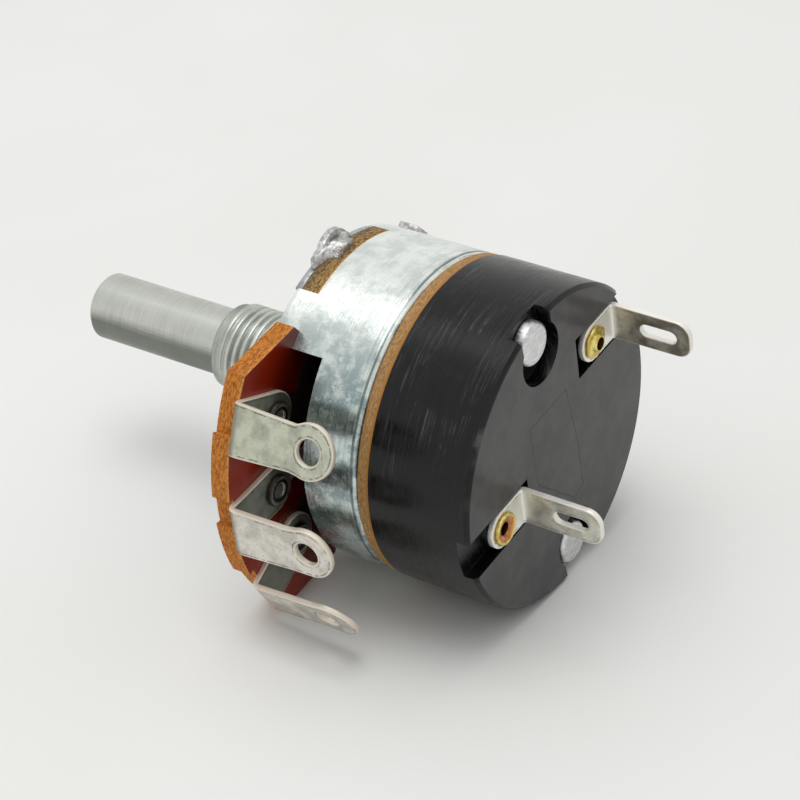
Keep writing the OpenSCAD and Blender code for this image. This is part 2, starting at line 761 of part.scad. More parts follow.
// A terminal's channel, open at the rim that lies on its own side of the shaft.
// A round pad is left standing under the terminal's eyelet.
module terminal_channel(place) {
  upwards = place[1] > 0;
  fold_room = 0.6;
  past = 2.6;
  pad_inset = 0.1;
  near = terminal_reach + fold_room;
  pad_d = terminal_w - 2 * pad_inset;
  at(place) {
    difference() {
      translate([-channel_w / 2, upwards ? -near : -housing_d, rear_z - channel_depth])
        cube([channel_w, housing_d + (upwards ? near : past), channel_depth + eps]);
      translate([0, 0, rear_z - channel_depth - eps])
        cylinder(d = pad_d, h = channel_depth - terminal_t + eps);
    }
    translate([0, 0, floor_z - eps])
      cylinder(d = eyelet_d + 2 * fit_gap, h = housing_floor + 2 * eps);
  }
}

// A switch terminal: a round-ended base and a slotted arm folded up from it
module terminal(place) {
  base_z = rear_z + fit_gap - terminal_t;
  arm_top = rear_z + terminal_len - base_z;
  slot_top = arm_top - slot_end - slot_w / 2;
  slot_bottom = slot_top - slot_len + slot_w;
  corner_x = terminal_w / 2 - terminal_corner;
  color("gainsboro") lie() at(place) translate([0, 0, base_z]) {
    difference() {
      union() {
        cylinder(d = terminal_w, h = terminal_t);
        translate([-terminal_w / 2, -terminal_reach, 0]) cube([terminal_w, terminal_reach, terminal_t]);
      }
      translate([0, 0, -eps]) cylinder(d = eyelet_d + 2 * fit_gap, h = terminal_t + 2 * eps);
    }
    translate([0, terminal_t - terminal_reach, 0])
      rotate([90, 0, 0]) linear_extrude(terminal_t) difference() {
        union() {
          translate([-terminal_w / 2, 0]) square([terminal_w, arm_top - terminal_corner]);
          translate([-corner_x, 0]) square([2 * corner_x, arm_top]);
          for (side = [-1, 1]) translate([side * corner_x, arm_top - terminal_corner])
            circle(r = terminal_corner);
        }
        for (height = [slot_top, slot_bottom]) translate([0, height]) circle(d = slot_w);
        translate([-slot_w / 2, slot_bottom]) square([slot_w, slot_top - slot_bottom]);
      }
  }
}

module terminal_upper() {
  terminal(contact_places[0]);
}

module terminal_lower() {
  terminal(contact_places[1]);
}

module terminal_eyelets() {
  curl_t = 0.35;
  curl_in = 0.5;
  color("khaki") lie() for (place = contact_places) at(place) difference() {
    union() {
      translate([0, 0, floor_z - eyelet_flange_t]) cylinder(d = eyelet_flange_d, h = eyelet_flange_t);
      translate([0, 0, floor_z - eps]) cylinder(d = eyelet_d, h = housing_floor + fit_gap + 2 * eps);
      translate([0, 0, rear_z + fit_gap])
        cylinder(d1 = eyelet_flange_d, d2 = eyelet_flange_d - curl_in, h = curl_t);
    }
    translate([0, 0, floor_z]) cylinder(d = eyelet_bore, h = 2 * housing_floor);
  }
}

module housing_rivets() {
  head_z = rear_z - pocket_depth;
  front_z = insulator_z - cover_t;
  straight = rivet_head_t - rivet_bevel;
  color("white") lie() for (a = [0, 180])
    rotate([0, 0, rivet_angle + a]) translate([rivet_r, 0, 0]) {
      translate([0, 0, head_z]) cylinder(d = rivet_head_d, h = straight);
      translate([0, 0, head_z + straight])
        cylinder(d1 = rivet_head_d, d2 = rivet_head_d - 2 * rivet_bevel, h = rivet_bevel);
      translate([0, 0, front_z - eps]) cylinder(d = rivet_d, h = head_z - front_z + 2 * eps);
      translate([0, 0, front_z - rivet_foot_t]) cylinder(d = rivet_d + 2 * foot_rim, h = rivet_foot_t);
    }
}

module switch_driver() {
  color("ivory") lie() difference() {
    union() {
      translate([0, 0, driver_z]) cylinder(r = driver_r, h = driver_t);
      rotate([0, 0, pivot_angle - drive_lead]) translate([drive_pin_place, 0, driver_z])
        cylinder(d = drive_pin_d, h = drive_pin_top - driver_z);
    }
    translate([0, 0, driver_z - eps]) cylinder(r = tail_d / 2 + fit_gap, h = driver_t + 2 * eps);
  }
}

// Draws in the lever's own place: its pivot at the origin, the bridge out along +X
module on_lever() {
  at(pivot_place) rotate([0, 0, bridge_angle - 90 + lever_throw]) children();
}

module switch_lever() {
  cut_h = lever_t + 2 * eps;
  slot_half = drive_pin_d / 2 + slide_gap;
  slot_near = pivot_far - drive_pin_place - drive_pin_d;
  color("sienna") lie() on_lever() translate([0, 0, lever_z]) difference() {
    union() {
      cylinder(r = pivot_d / 2 + pivot_wall, h = lever_t);
      translate([0, -lever_w / 2, 0]) cube([lever_reach, lever_w, lever_t]);
      translate([lever_reach - bridge_w / 2, -crosshead_len / 2, 0])
        cube([bridge_w, crosshead_len, lever_t]);
      translate([-lever_tail, -lever_tail_w / 2, 0]) cube([lever_tail, lever_tail_w, lever_t]);
    }
    translate([0, 0, -eps]) cylinder(r = pivot_d / 2 + run_gap, h = cut_h);
    rotate([0, 0, -lever_throw / 2]) translate([slot_near, -slot_half, -eps])
      cube([2 * drive_pin_d, 2 * slot_half, cut_h]);
  }
}

module contact_bridge() {
  color("goldenrod") lie() on_lever() translate([lever_reach, 0, bridge_z]) {
    translate([-bridge_w / 2, -contact_span / 2, 0]) cube([bridge_w, contact_span, bridge_t]);
    for (side = [-1, 1]) translate([0, side * contact_span / 2, 0]) {
      cylinder(d = bridge_w, h = bridge_t);
      cylinder(r = contact_r, h = bridge_t + contact_h);
    }
  }
}

// Draws where the detent spring is held, with the lever's pivot at the origin
module at_detent() {
  at(pivot_place) rotate([0, 0, detent_angle]) children();
}

module detent_posts() {
  at_detent() for (side = [-1, 1])
    translate([detent_near + detent_t + slide_gap + detent_post_room, side * detent_post_half, lever_z])
      cylinder(r = detent_post_r, h = floor_z - lever_z + eps);
}

// A bowed strip: the lever's tail clicks over its middle, and its ends lean on the posts
module detent_spring() {
  height = lever_t - 2 * slide_gap;
  color("silver") lie() at_detent() translate([detent_near, 0, lever_z + slide_gap]) {
    translate([0, -detent_half_w, 0]) cube([detent_t, 2 * detent_half_w, height]);
    for (side = [-1, 1]) linear_extrude(height) polygon([
      [0, side * (detent_half_w - detent_t)],
      [detent_t, side * (detent_half_w - detent_t)],
      [detent_t + detent_leg, side * (detent_half_w + detent_spread)],
      [detent_leg, side * (detent_half_w + detent_spread + eps)]]);
  }
}

shaft();
bushing();
front_plate();
wafer();
carbon_track();
collector_ring();
tag_first();
tag_wiper();
tag_last();
tag_rivets();
thrust_washer();
retaining_clip();
wiper_carrier();
wiper_spring();
cover();
insulator();
switch_housing();
terminal_upper();
terminal_lower();
terminal_eyelets();
housing_rivets();
switch_driver();
switch_lever();
contact_bridge();
detent_spring();
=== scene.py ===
"""Looks of the rotary potentiometer: materials, rounded edges and the finely shaped pieces.

Sizes are in mm and named as in the part's source. The frame is in metres.
"""
import math

import bmesh
import bpy
from mathutils import Matrix, Vector, noise
from mathutils.geometry import tessellate_polygon


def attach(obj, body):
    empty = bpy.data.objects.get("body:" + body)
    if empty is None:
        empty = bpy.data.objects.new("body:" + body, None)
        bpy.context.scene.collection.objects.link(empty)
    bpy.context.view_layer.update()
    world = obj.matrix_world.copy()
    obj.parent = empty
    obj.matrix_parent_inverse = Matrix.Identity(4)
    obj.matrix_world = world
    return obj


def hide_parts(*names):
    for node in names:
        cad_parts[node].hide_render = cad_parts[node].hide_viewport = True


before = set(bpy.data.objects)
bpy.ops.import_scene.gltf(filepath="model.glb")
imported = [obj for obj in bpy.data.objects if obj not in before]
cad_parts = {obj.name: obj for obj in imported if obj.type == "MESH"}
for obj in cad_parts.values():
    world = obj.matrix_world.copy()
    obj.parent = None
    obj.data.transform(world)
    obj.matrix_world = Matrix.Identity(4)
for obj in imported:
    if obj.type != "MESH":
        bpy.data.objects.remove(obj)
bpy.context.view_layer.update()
MM = 0.001


def on_circle(radius, angles):
    """Places in the cross-section on a circle round the shaft, at these angles in degrees."""
    return tuple((radius * math.cos(math.radians(a)), radius * math.sin(math.radians(a))) for a in angles)


# Sizes that the part's source gives
BUSHING_D = 8.0
BUSHING_LEN = 11.7
BUSHING_LEAD = 1.1
LEAD_STEP = 0.25
NECK_R = 4.4
FLANGE_R = 5.4
FLANGE_T = 0.8
PLATE_T = 0.6
WAFER_T = 1.8
TRACK_Z = PLATE_T + WAFER_T
BOSS_SINK = 0.3
BOSS_Z = TRACK_Z - BOSS_SINK
INSULATOR_Z = 10.7
HOUSING_Z = 11.8
REAR_Z = 21.3
HOUSING_D = 28.0
WAFER_HALF_W = 12.4
WAFER_ARC_R = 19.5
TAG_RIVET_R = 14.6
TAG_ANGLES = (115.5, 89.0, 62.5)
TAG_RIVET_PLACES = on_circle(TAG_RIVET_R, TAG_ANGLES)
TAG_BEND_R = 20.5
TAG_T = 0.5
TERMINAL_T = 0.5
TERMINAL_REACH = 3.5
TERMINAL_TOP = REAR_Z + 7.4
CONTACT_R = 9.2
CONTACT_ANGLES = (-46.3, 98.9)
EYELET_PLACES = on_circle(CONTACT_R, CONTACT_ANGLES)
LUG_ANGLE = -3.3
THREAD_START = BUSHING_LEAD - BUSHING_LEN
THREAD_PITCH = 0.75
FIT_GAP = 0.05

# Sizes in which the finely shaped pieces differ a little from the solids
BORE_R = 2.95
THREAD_DEPTH = 0.34
TERMINAL_W = 3.5

# Inner radius of the sheet pieces' folds
BEND_INNER_R = 0.22

# Distance between two rings of points that keep an edge crisp
CREASE = 0.02

# A distance in mm that nothing on the part reaches
FAR = 99.0

# Corners of the faint line that the mould has left on the rear face
MOULD_LINE = ((4.8, -1.9), (4.8, 3.8), (-1.3, 3.5), (-6.5, -1.4), (-6.2, -2.9), (-2.0, -2.9))

# The part rests on the housing and on one corner of the wafer
CORNER_Y = math.sqrt(WAFER_ARC_R ** 2 - WAFER_HALF_W ** 2)
ROLL = -math.atan2(WAFER_HALF_W, CORNER_Y) - math.acos(HOUSING_D / 2 / WAFER_ARC_R)
FLOOR_Z = -HOUSING_D / 2 * MM


def lie(x, y, z):
    """A place in the part's own cross-section and height, in mm, as a point of the frame."""
    across = x * math.cos(ROLL) - y * math.sin(ROLL)
    up = -x * math.sin(ROLL) - y * math.cos(ROLL)
    return Vector((across * MM, z * MM, up * MM))


def linear(red, green, blue):
    """A colour given as 0 to 255 on screen, as the linear colour that a shader takes."""
    def one(value):
        value /= 255
        return value / 12.92 if value <= 0.04045 else ((value + 0.055) / 1.055) ** 2.4
    return (one(red), one(green), one(blue), 1.0)


class Graph:
    """Builds one material's nodes. Every input takes a socket or a plain value."""

    def __init__(self, name):
        self.material = bpy.data.materials.new(name)
        self.material.use_nodes = True
        self.tree = self.material.node_tree
        self.tree.nodes.clear()
        output = self.tree.nodes.new("ShaderNodeOutputMaterial")
        self.shader = self.tree.nodes.new("ShaderNodeBsdfPrincipled")
        self.tree.links.new(self.shader.outputs[0], output.inputs[0])
        self.place = self.find_place()

    def put(self, socket, value):
        if isinstance(value, bpy.types.NodeSocket):
            self.tree.links.new(value, socket)
        else:
            socket.default_value = value

    def add(self, kind, inputs, output=0, **settings):
        node = self.tree.nodes.new(kind)
        for key, value in settings.items():
            setattr(node, key, value)
        for key, value in inputs.items():
            self.put(node.inputs[key], value)
        return node.outputs[output]

    def find_place(self):
        """Position in mm in the part's own axes: x and y in the cross-section, z along the shaft."""
        turn = Matrix(((math.cos(ROLL), 0, -math.sin(ROLL)),
                       (-math.sin(ROLL), 0, -math.cos(ROLL)),
                       (0, 1, 0))).to_euler()
        coordinates = self.add("ShaderNodeTexCoord", {}, "Object")
        return self.add("ShaderNodeMapping", {"Vector": coordinates, "Rotation": turn,
                                              "Scale": (1 / MM, 1 / MM, 1 / MM)})

    def split(self, vector):
        node = self.tree.nodes.new("ShaderNodeSeparateXYZ")
        self.put(node.inputs[0], vector)
        return node.outputs

    def join(self, x, y, z):
        return self.add("ShaderNodeCombineXYZ", {0: x, 1: y, 2: z})

    def scaled(self, x, y, z):
        return self.add("ShaderNodeVectorMath", {0: self.place, 1: (x, y, z)}, operation="MULTIPLY")

    def math(self, operation, first, second=0.0):
        return self.add("ShaderNodeMath", {0: first, 1: second}, operation=operation)

    def flat_place(self):
        """The place in the cross-section alone."""
        x, y, _ = self.split(self.place)
        return self.join(x, y, 0.0)

    def radius(self):
        return self.add("ShaderNodeVectorMath", {0: self.flat_place()}, 1, operation="LENGTH")

    def nearest(self, places):
        """Distance in the cross-section to the nearest of some places."""
        near = FAR
        x, y, _ = self.split(self.place)
        for px, py in places:
            flat = self.join(self.math("SUBTRACT", x, px), self.math("SUBTRACT", y, py), 0.0)
            distance = self.add("ShaderNodeVectorMath", {0: flat}, 1, operation="LENGTH")
            near = self.math("MINIMUM", distance, near)
        return near

    def around(self, low, high):
        """Coordinates that change slowly round the shaft, and fast along it and outwards."""
        x, y, z = self.split(self.place)
        out = self.math("MULTIPLY", self.math("ADD", z, self.radius()), high)
        return self.join(self.math("MULTIPLY", x, low), self.math("MULTIPLY", y, low), out)

    def noise(self, scale, detail=4.0, roughness=0.55, vector=None, distortion=0.0):
        return self.add("ShaderNodeTexNoise", {
            "Vector": self.place if vector is None else vector, "Scale": scale, "Detail": detail,
            "Roughness": roughness, "Distortion": distortion}, "Fac")

    def edge(self):
        """1 on a sheet piece's rounded edges, falling to 0 a little way in."""
        return self.add("ShaderNodeAttribute", {}, "Fac", attribute_name="edge")

    def band(self, value, middle, half):
        """1 where a value is at the middle of a band, 0 outside it."""
        away = self.math("ABSOLUTE", self.math("SUBTRACT", value, middle))
        return self.span(away, half, half * 0.3)

    def span(self, value, low, high, to_low=0.0, to_high=1.0):
        return self.add("ShaderNodeMapRange", {
            "Value": value, "From Min": low, "From Max": high, "To Min": to_low, "To Max": to_high},
            interpolation_type="SMOOTHSTEP")

    def mix(self, factor, first, second, blend="MIX"):
        return self.add("ShaderNodeMix", {0: factor, 6: first, 7: second}, 2,
                        data_type="RGBA", blend_type=blend)

    def polygon_line(self, corners, width):
        """1 on a thin line through these corners of the cross-section, 0 elsewhere."""
        flat = self.flat_place()
        nearest = FAR
        for start, end in zip(corners, corners[1:] + corners[:1]):
            first = Vector((start[0], start[1], 0))
            side = Vector((end[0], end[1], 0)) - first
            away = self.add("ShaderNodeVectorMath", {0: flat, 1: first}, operation="SUBTRACT")
            share = self.add("ShaderNodeVectorMath", {0: away, 1: side / side.length_squared}, 1,
                             operation="DOT_PRODUCT")
            share = self.math("MINIMUM", self.math("MAXIMUM", share, 0.0), 1.0)
            along = self.add("ShaderNodeVectorMath", {0: side, "Scale": share}, operation="SCALE")
            gap = self.add("ShaderNodeVectorMath", {0: away, 1: along}, 1, operation="DISTANCE")
            nearest = self.math("MINIMUM", gap, nearest)
        return self.span(nearest, width, width * 0.4)

    def along_axis(self):
        """1 on faces that look along the shaft, 0 on those that look sideways."""
        normal = self.add("ShaderNodeNewGeometry", {}, "Normal")
        return self.math("ABSOLUTE", self.split(normal)[1])

    def bump(self, height, depth, normal=None):
        inputs = {"Height": height, "Distance": depth * MM, "Strength": 1.0}
        if normal is not None:
            inputs["Normal"] = normal
        return self.add("ShaderNodeBump", inputs)

    def finish(self, **inputs):
        for key, value in inputs.items():
            self.put(self.shader.inputs[key.replace("_", " ")], value)
        return self.material


def turned_metal(name, light, dark, rough=0.34, streak=14.0, streak_depth=0.004, blotch=0.35):
    """Turned or drawn metal: fine rings round the shaft, soft blotches and small pits."""
    g = Graph(name)
    rings = g.noise(1.0, 5.0, 0.6, g.around(0.25, streak))
    blotches = g.noise(blotch, 4.0, 0.6)
    grain = g.noise(9.0, 4.0, 0.6)
    tone = g.math("ADD", g.math("MULTIPLY", rings, 0.5), g.math("MULTIPLY", blotches, 0.5))
    colour = g.mix(g.span(tone, 0.32, 0.66), dark, light)
    colour = g.mix(g.span(grain, 0.62, 0.8, 0.0, 0.35), colour, dark)
    roughness = g.span(g.math("ADD", rings, blotches), 0.7, 1.3, rough + 0.08, rough - 0.06)
    normal = g.bump(rings, streak_depth)
    normal = g.bump(grain, 0.003, normal)
    return g, colour, roughness, normal


def shaft_metal():
    light = linear(208, 210, 203)
    dark = linear(188, 191, 184)
    g, colour, roughness, normal = turned_metal("shaft_metal", light, dark, 0.34, 5.0, 0.0015)
    drawn = g.noise(1.0, 4.0, 0.6, g.scaled(5.0, 5.0, 0.12))
    colour = g.mix(g.span(drawn, 0.45, 0.7, 0.0, 0.3), colour, dark)
    x, _, _ = g.split(g.place)
    # Painted shade: the shaft's lower side is painted darker, in a band that turns with the shaft.
    lower_side_shade = g.span(g.math("ADD", x, g.math("MULTIPLY", drawn, 0.8)), 2.1, 0.9, 0.0, 0.85)
    colour = g.mix(lower_side_shade, colour, linear(104, 108, 100))
    normal = g.bump(drawn, 0.004, normal)
    return g.finish(Base_Color=colour, Metallic=1.0, Roughness=roughness, Normal=normal)


def bushing_metal():
    light = linear(218, 221, 213)
    dark = linear(164, 169, 162)
    g, colour, roughness, normal = turned_metal("bushing_metal", light, dark, 0.36, 9.0, 0.004)
    # Painted shade: the thread's grooves are painted darker.
    groove = g.span(g.radius(), BUSHING_D / 2 - 0.34, BUSHING_D / 2 - 0.12, 0.45, 0.0)
    colour = g.mix(groove, colour, linear(62, 68, 70))
    return g.finish(Base_Color=colour, Metallic=1.0, Roughness=roughness, Normal=normal)


def plate_metal():
    light = linear(196, 200, 202)
    dark = linear(118, 124, 128)
    g, colour, roughness, normal = turned_metal("plate_metal", light, dark, 0.4, 3.0, 0.004, 0.6)
    dents = g.noise(1.4, 5.0, 0.62)
    normal = g.bump(dents, 0.06, normal)
    # Painted shade: the plate is painted darker in the hollows of its dents.
    colour = g.mix(g.span(dents, 0.46, 0.32, 0.0, 0.6), colour, linear(84, 86, 88))
    # Painted highlights and shade on the lug: lighter where it is raised, with dark lines of shade along its
    # wrinkles.
    lug = g.mix(g.span(dents, 0.4, 0.6), linear(176, 176, 176), linear(222, 222, 222))
    wrinkle = g.band(g.noise(1.6, 3.0, 0.6), 0.5, 0.03)
    lug = g.mix(g.math("MULTIPLY", wrinkle, 0.5), lug, linear(96, 96, 98))
    colour = g.mix(g.span(g.radius(), 13.75, 14.0), colour, lug)
    return g.finish(Base_Color=colour, Metallic=1.0, Roughness=roughness, Normal=normal)


def cover_zinc():
    """Zinc-plated steel with fine rings round it: painted bright round the lit side, painted darker as shade
    on the tags' side, and spotted there.
    """
    g = Graph("cover_zinc")
    rings = g.noise(1.0, 6.0, 0.66, g.around(0.1, 8.0))
    fine = g.noise(1.0, 5.0, 0.7, g.around(0.22, 24.0))
    cloud = g.noise(0.5, 4.0, 0.6)
    spots = g.noise(1.5, 5.0, 0.66)
    _, y, z = g.split(g.place)
    # Painted shade: the colours are painted darker towards the tags' side, which faces away from the light.
    dull_and_shaded = g.span(y, 4.0, 11.0)
    light = g.mix(dull_and_shaded, linear(246, 250, 247), linear(214, 226, 224))
    dark = g.mix(dull_and_shaded, linear(222, 229, 226), linear(146, 164, 166))
    colour = g.mix(g.span(cloud, 0.4, 0.6), dark, light)
    colour = g.mix(g.span(rings, 0.52, 0.7, 0.0, 0.3), colour, linear(168, 180, 178))
    patches = g.math("MULTIPLY", g.span(spots, 0.55, 0.66), dull_and_shaded)
    colour = g.mix(g.math("MULTIPLY", patches, 0.6), colour, linear(238, 246, 246))
    back = g.span(z, INSULATOR_Z - 2.6, INSULATOR_Z - 0.5, 0.12, 1.0)
    lines = g.math("MULTIPLY", g.span(fine, 0.52, 0.6), back)
    colour = g.mix(g.math("MULTIPLY", lines, 0.7), colour, linear(104, 118, 120))
    rear_line = g.band(z, INSULATOR_Z - 0.62, 0.16)
    colour = g.mix(g.math("MULTIPLY", rear_line, 0.75), colour, linear(88, 98, 92))
    roughness = g.span(g.math("ADD", spots, rings), 0.75, 1.25, 0.15, 0.32)
    normal = g.bump(rings, 0.014)
    normal = g.bump(spots, 0.012, normal)
    normal = g.bump(fine, 0.005, normal)
    return g.finish(Base_Color=colour, Metallic=0.9, Roughness=roughness, Normal=normal,
                    Anisotropic=0.6, Tangent=g.join(0.0, 1.0, 0.0))


def tag_metal():
    """Tinned strip: edges painted pale as highlights with a dark line of painted shade inside them, scratches
    and matt spots.
    """
    g = Graph("tag_metal")
    x, _, z = g.split(g.place)
    cloud = g.noise(0.7, 4.0, 0.6)
    grain = g.noise(7.0, 5.0, 0.65)
    scratch = g.noise(1.0, 4.0, 0.6, g.scaled(1.3, 1.3, 5.0), 2.5)
    upper = g.span(x, 4.0, 7.0)
    light = g.mix(upper, linear(230, 226, 218), linear(206, 208, 190))
    dark = g.mix(upper, linear(198, 194, 184), linear(174, 176, 160))
    colour = g.mix(g.span(cloud, 0.36, 0.64), dark, light)
    colour = g.mix(g.span(grain, 0.58, 0.76, 0.0, 0.55), colour, linear(126, 128, 116))
    colour = g.mix(g.span(scratch, 0.635, 0.665, 0.0, 0.75), colour, linear(92, 94, 84))
    # Painted shade: the foot on the wafer and the start of the fold are painted darker.
    base = g.span(z, TRACK_Z + 0.9, TRACK_Z + 0.4)
    colour = g.mix(g.math("MULTIPLY", base, 0.75), colour, linear(118, 124, 112))
    # Painted highlight on the rounded edges, and painted shade in a dark line just inside them.
    edge = g.edge()
    line = g.math("MULTIPLY", g.band(edge, 0.42, 0.3), g.span(g.noise(1.6, 3.0, 0.6), 0.42, 0.56))
    colour = g.mix(g.math("MULTIPLY", line, 0.75), colour, linear(84, 84, 74))
    colour = g.mix(g.span(edge, 0.9, 1.0), colour, linear(232, 222, 206))
    metal = g.span(edge, 0.9, 1.0, 0.85, 0.5)
    roughness = g.span(g.math("ADD", cloud, grain), 0.7, 1.3, 0.36, 0.56)
    normal = g.bump(g.noise(0.9, 3.0, 0.5), 0.03)
    normal = g.bump(grain, 0.01, normal)
    normal = g.bump(scratch, 0.012, normal)
    return g.finish(Base_Color=colour, Metallic=metal, Roughness=roughness, Normal=normal)


def terminal_metal():
    """Plated brass strip: warm grey, drawn lines along it, edges painted pale as highlights."""
    g = Graph("terminal_metal")
    _, y, z = g.split(g.place)
    cloud = g.noise(0.6, 4.0, 0.6)
    grain = g.noise(6.0, 5.0, 0.65)
    drawn = g.noise(1.0, 4.0, 0.6, g.scaled(9.0, 9.0, 0.6))
    upper = g.span(y, 2.0, -4.0)
    light = g.mix(upper, linear(232, 229, 218), linear(206, 200, 186))
    dark = g.mix(upper, linear(202, 199, 186), linear(156, 149, 134))
    colour = g.mix(g.span(cloud, 0.36, 0.64), dark, light)
    # Painted highlight: the flat base on the rear face is painted near white.
    base = g.span(z, REAR_Z + 0.7, REAR_Z + 0.1)
    colour = g.mix(base, colour, linear(246, 244, 238))
    colour = g.mix(g.span(grain, 0.6, 0.78, 0.0, 0.4), colour, linear(150, 146, 134))
    colour = g.mix(g.span(drawn, 0.58, 0.7, 0.0, 0.4), colour, linear(132, 126, 112))
    # Painted highlight on the rounded edges, and painted shade in a dark line just inside them.
    edge = g.edge()
    line = g.math("MULTIPLY", g.band(edge, 0.4, 0.28), g.span(g.noise(1.4, 3.0, 0.6), 0.44, 0.6))
    colour = g.mix(g.math("MULTIPLY", line, 0.5), colour, linear(104, 98, 84))
    colour = g.mix(g.span(edge, 0.9, 1.0), colour, linear(244, 241, 232))
    metal = g.span(edge, 0.9, 1.0, 0.85, 0.5)
    roughness = g.span(g.math("ADD", cloud, grain), 0.7, 1.3, 0.34, 0.5)
    normal = g.bump(g.noise(0.8, 3.0, 0.5), 0.02)
    normal = g.bump(grain, 0.006, normal)
    return g.finish(Base_Color=colour, Metallic=metal, Roughness=roughness, Normal=normal)


def rivet_metal():
    g = Graph("rivet_metal")
    brushed = g.noise(1.0, 5.0, 0.65, g.scaled(10.0, 1.0, 1.0))
    grain = g.noise(5.0, 4.0, 0.6)
    colour = g.mix(g.span(brushed, 0.4, 0.62), linear(198, 200, 202), linear(240, 240, 240))
    colour = g.mix(g.span(grain, 0.6, 0.78, 0.0, 0.35), colour, linear(170, 172, 174))
    near = g.nearest(TAG_RIVET_PLACES)
    dull_and_shaded = g.mix(g.span(grain, 0.4, 0.6), linear(150, 150, 138), linear(196, 196, 182))
    # Painted shade: two dark rings are painted round the middle of each tag rivet.
    dull_and_shaded = g.mix(g.band(near, 0.86, 0.26), dull_and_shaded, linear(60, 56, 54))
    dull_and_shaded = g.mix(g.band(near, 1.38, 0.12), dull_and_shaded, linear(70, 66, 60))
    colour = g.mix(g.span(near, 4.0, 3.0), colour, dull_and_shaded)
    roughness = g.span(brushed, 0.35, 0.65, 0.34, 0.5)
    normal = g.bump(brushed, 0.012)
    normal = g.bump(grain, 0.008, normal)
    return g.finish(Base_Color=colour, Metallic=1.0, Roughness=roughness, Normal=normal)


def eyelet_brass():
    """One eyelet is clean brass; the other one is coppery inside a brass rim."""
    g = Graph("eyelet_brass")
    cloud = g.noise(1.6, 4.0, 0.6)
    grain = g.noise(8.0, 4.0, 0.6)
    _, y, _ = g.split(g.place)
    near = g.nearest(EYELET_PLACES)
    lower = g.span(y, -1.0, 3.0)
    inside = g.span(near, 1.22, 1.05)
    brass = g.mix(g.span(cloud, 0.35, 0.65), linear(196, 166, 74), linear(238, 222, 138))
    copper = g.mix(g.span(cloud, 0.35, 0.65), linear(168, 100, 54), linear(214, 156, 106))
    colour = g.mix(g.math("MULTIPLY", lower, inside), brass, copper)
    colour = g.mix(g.span(grain, 0.56, 0.76, 0.0, 0.7), colour, linear(96, 74, 34))
    # Painted shade: the bore is painted dark.
    deep = g.span(near, 0.6, 0.54)
    colour = g.mix(deep, colour, linear(38, 24, 12))
    normal = g.bump(cloud, 0.04)
    return g.finish(Base_Color=colour, Metallic=1.0, Roughness=0.28, Normal=normal)


def plain_metal(name, light, dark, rough):
    g, colour, roughness, normal = turned_metal(name, light, dark, rough, 4.0, 0.003)
    return g.finish(Base_Color=colour, Metallic=1.0, Roughness=roughness, Normal=normal)


def wafer_board():
    """Laminated paper: glossy red-brown faces, and sheared edges that show pale fibres."""
    g = Graph("wafer_board")
    _, y, z = g.split(g.place)
    radius = g.radius()
    face = g.span(g.along_axis(), 0.55, 0.8)
    fibre = g.noise(1.0, 6.0, 0.7, g.scaled(2.2, 2.2, 7.0))
    flecks = g.noise(4.2, 6.0, 0.72)
    cloud = g.noise(0.35, 3.0, 0.5)
    # Painted shade: the faces are painted darker towards the cover, where its shade falls.
    out_of_cover_shade = g.span(radius, 13.0, 18.5)
    deep = g.mix(out_of_cover_shade, linear(70, 9, 1), linear(152, 36, 1))
    deep = g.mix(g.span(cloud, 0.4, 0.65, 0.0, 0.35), deep, linear(92, 14, 2))
    edge = g.mix(g.span(fibre, 0.38, 0.6), linear(186, 92, 16), linear(238, 158, 60))
    edge = g.mix(g.span(flecks, 0.52, 0.66, 0.0, 0.6), edge, linear(116, 48, 8))
    # On the round side the edge is browner and flecked.
    away = g.span(y, 6.6, 5.2)
    round_edge = g.mix(g.span(fibre, 0.38, 0.6), linear(128, 92, 40), linear(206, 168, 104))
    round_edge = g.mix(g.span(flecks, 0.48, 0.62, 0.0, 0.85), round_edge, linear(64, 44, 18))
    # Painted shade: the strip of that edge next to the plate is painted grey.
    front_shade = g.span(z, PLATE_T + 0.9, PLATE_T + 0.1)
    round_edge = g.mix(g.math("MULTIPLY", front_shade, 0.6), round_edge, linear(110, 104, 90))
    edge = g.mix(away, edge, round_edge)
    rim = g.math("MULTIPLY", g.span(z, TRACK_Z - 0.3, TRACK_Z - 0.12), g.span(flecks, 0.62, 0.46))
    edge = g.mix(g.math("MULTIPLY", rim, 0.8), edge, linear(244, 176, 92))
    colour = g.mix(face, edge, deep)
    roughness = g.span(face, 0.0, 1.0, 0.85, 0.26)
    rough_edge = g.math("MULTIPLY", g.math("SUBTRACT", 1.0, face), fibre)
    normal = g.bump(rough_edge, 0.3)
    normal = g.bump(flecks, 0.015, normal)
    return g.finish(Base_Color=colour, Roughness=roughness, Normal=normal, IOR=1.5)


def insulator_board():
    """Pale laminated paper, seen on its edge: brown specks, and an amber line of painted shade towards the
    housing.
    """
    g = Graph("insulator_board")
    _, _, z = g.split(g.place)
    fibre = g.noise(1.0, 6.0, 0.7, g.scaled(2.5, 2.5, 7.0))
    flecks = g.noise(6.5, 5.0, 0.7)
    colour = g.mix(g.span(fibre, 0.36, 0.64), linear(142, 104, 56), linear(190, 148, 92))
    colour = g.mix(g.span(flecks, 0.53, 0.7, 0.0, 0.75), colour, linear(84, 56, 26))
    # Painted shade: the strip next to the housing is painted amber.
    amber = g.span(z, HOUSING_Z - 0.34, HOUSING_Z - 0.22)
    colour = g.mix(amber, colour, linear(172, 116, 44))
    normal = g.bump(fibre, 0.05)
    normal = g.bump(flecks, 0.03, normal)
    roughness = g.span(flecks, 0.3, 0.7, 0.6, 0.8)
    return g.finish(Base_Color=colour, Roughness=roughness, Normal=normal)


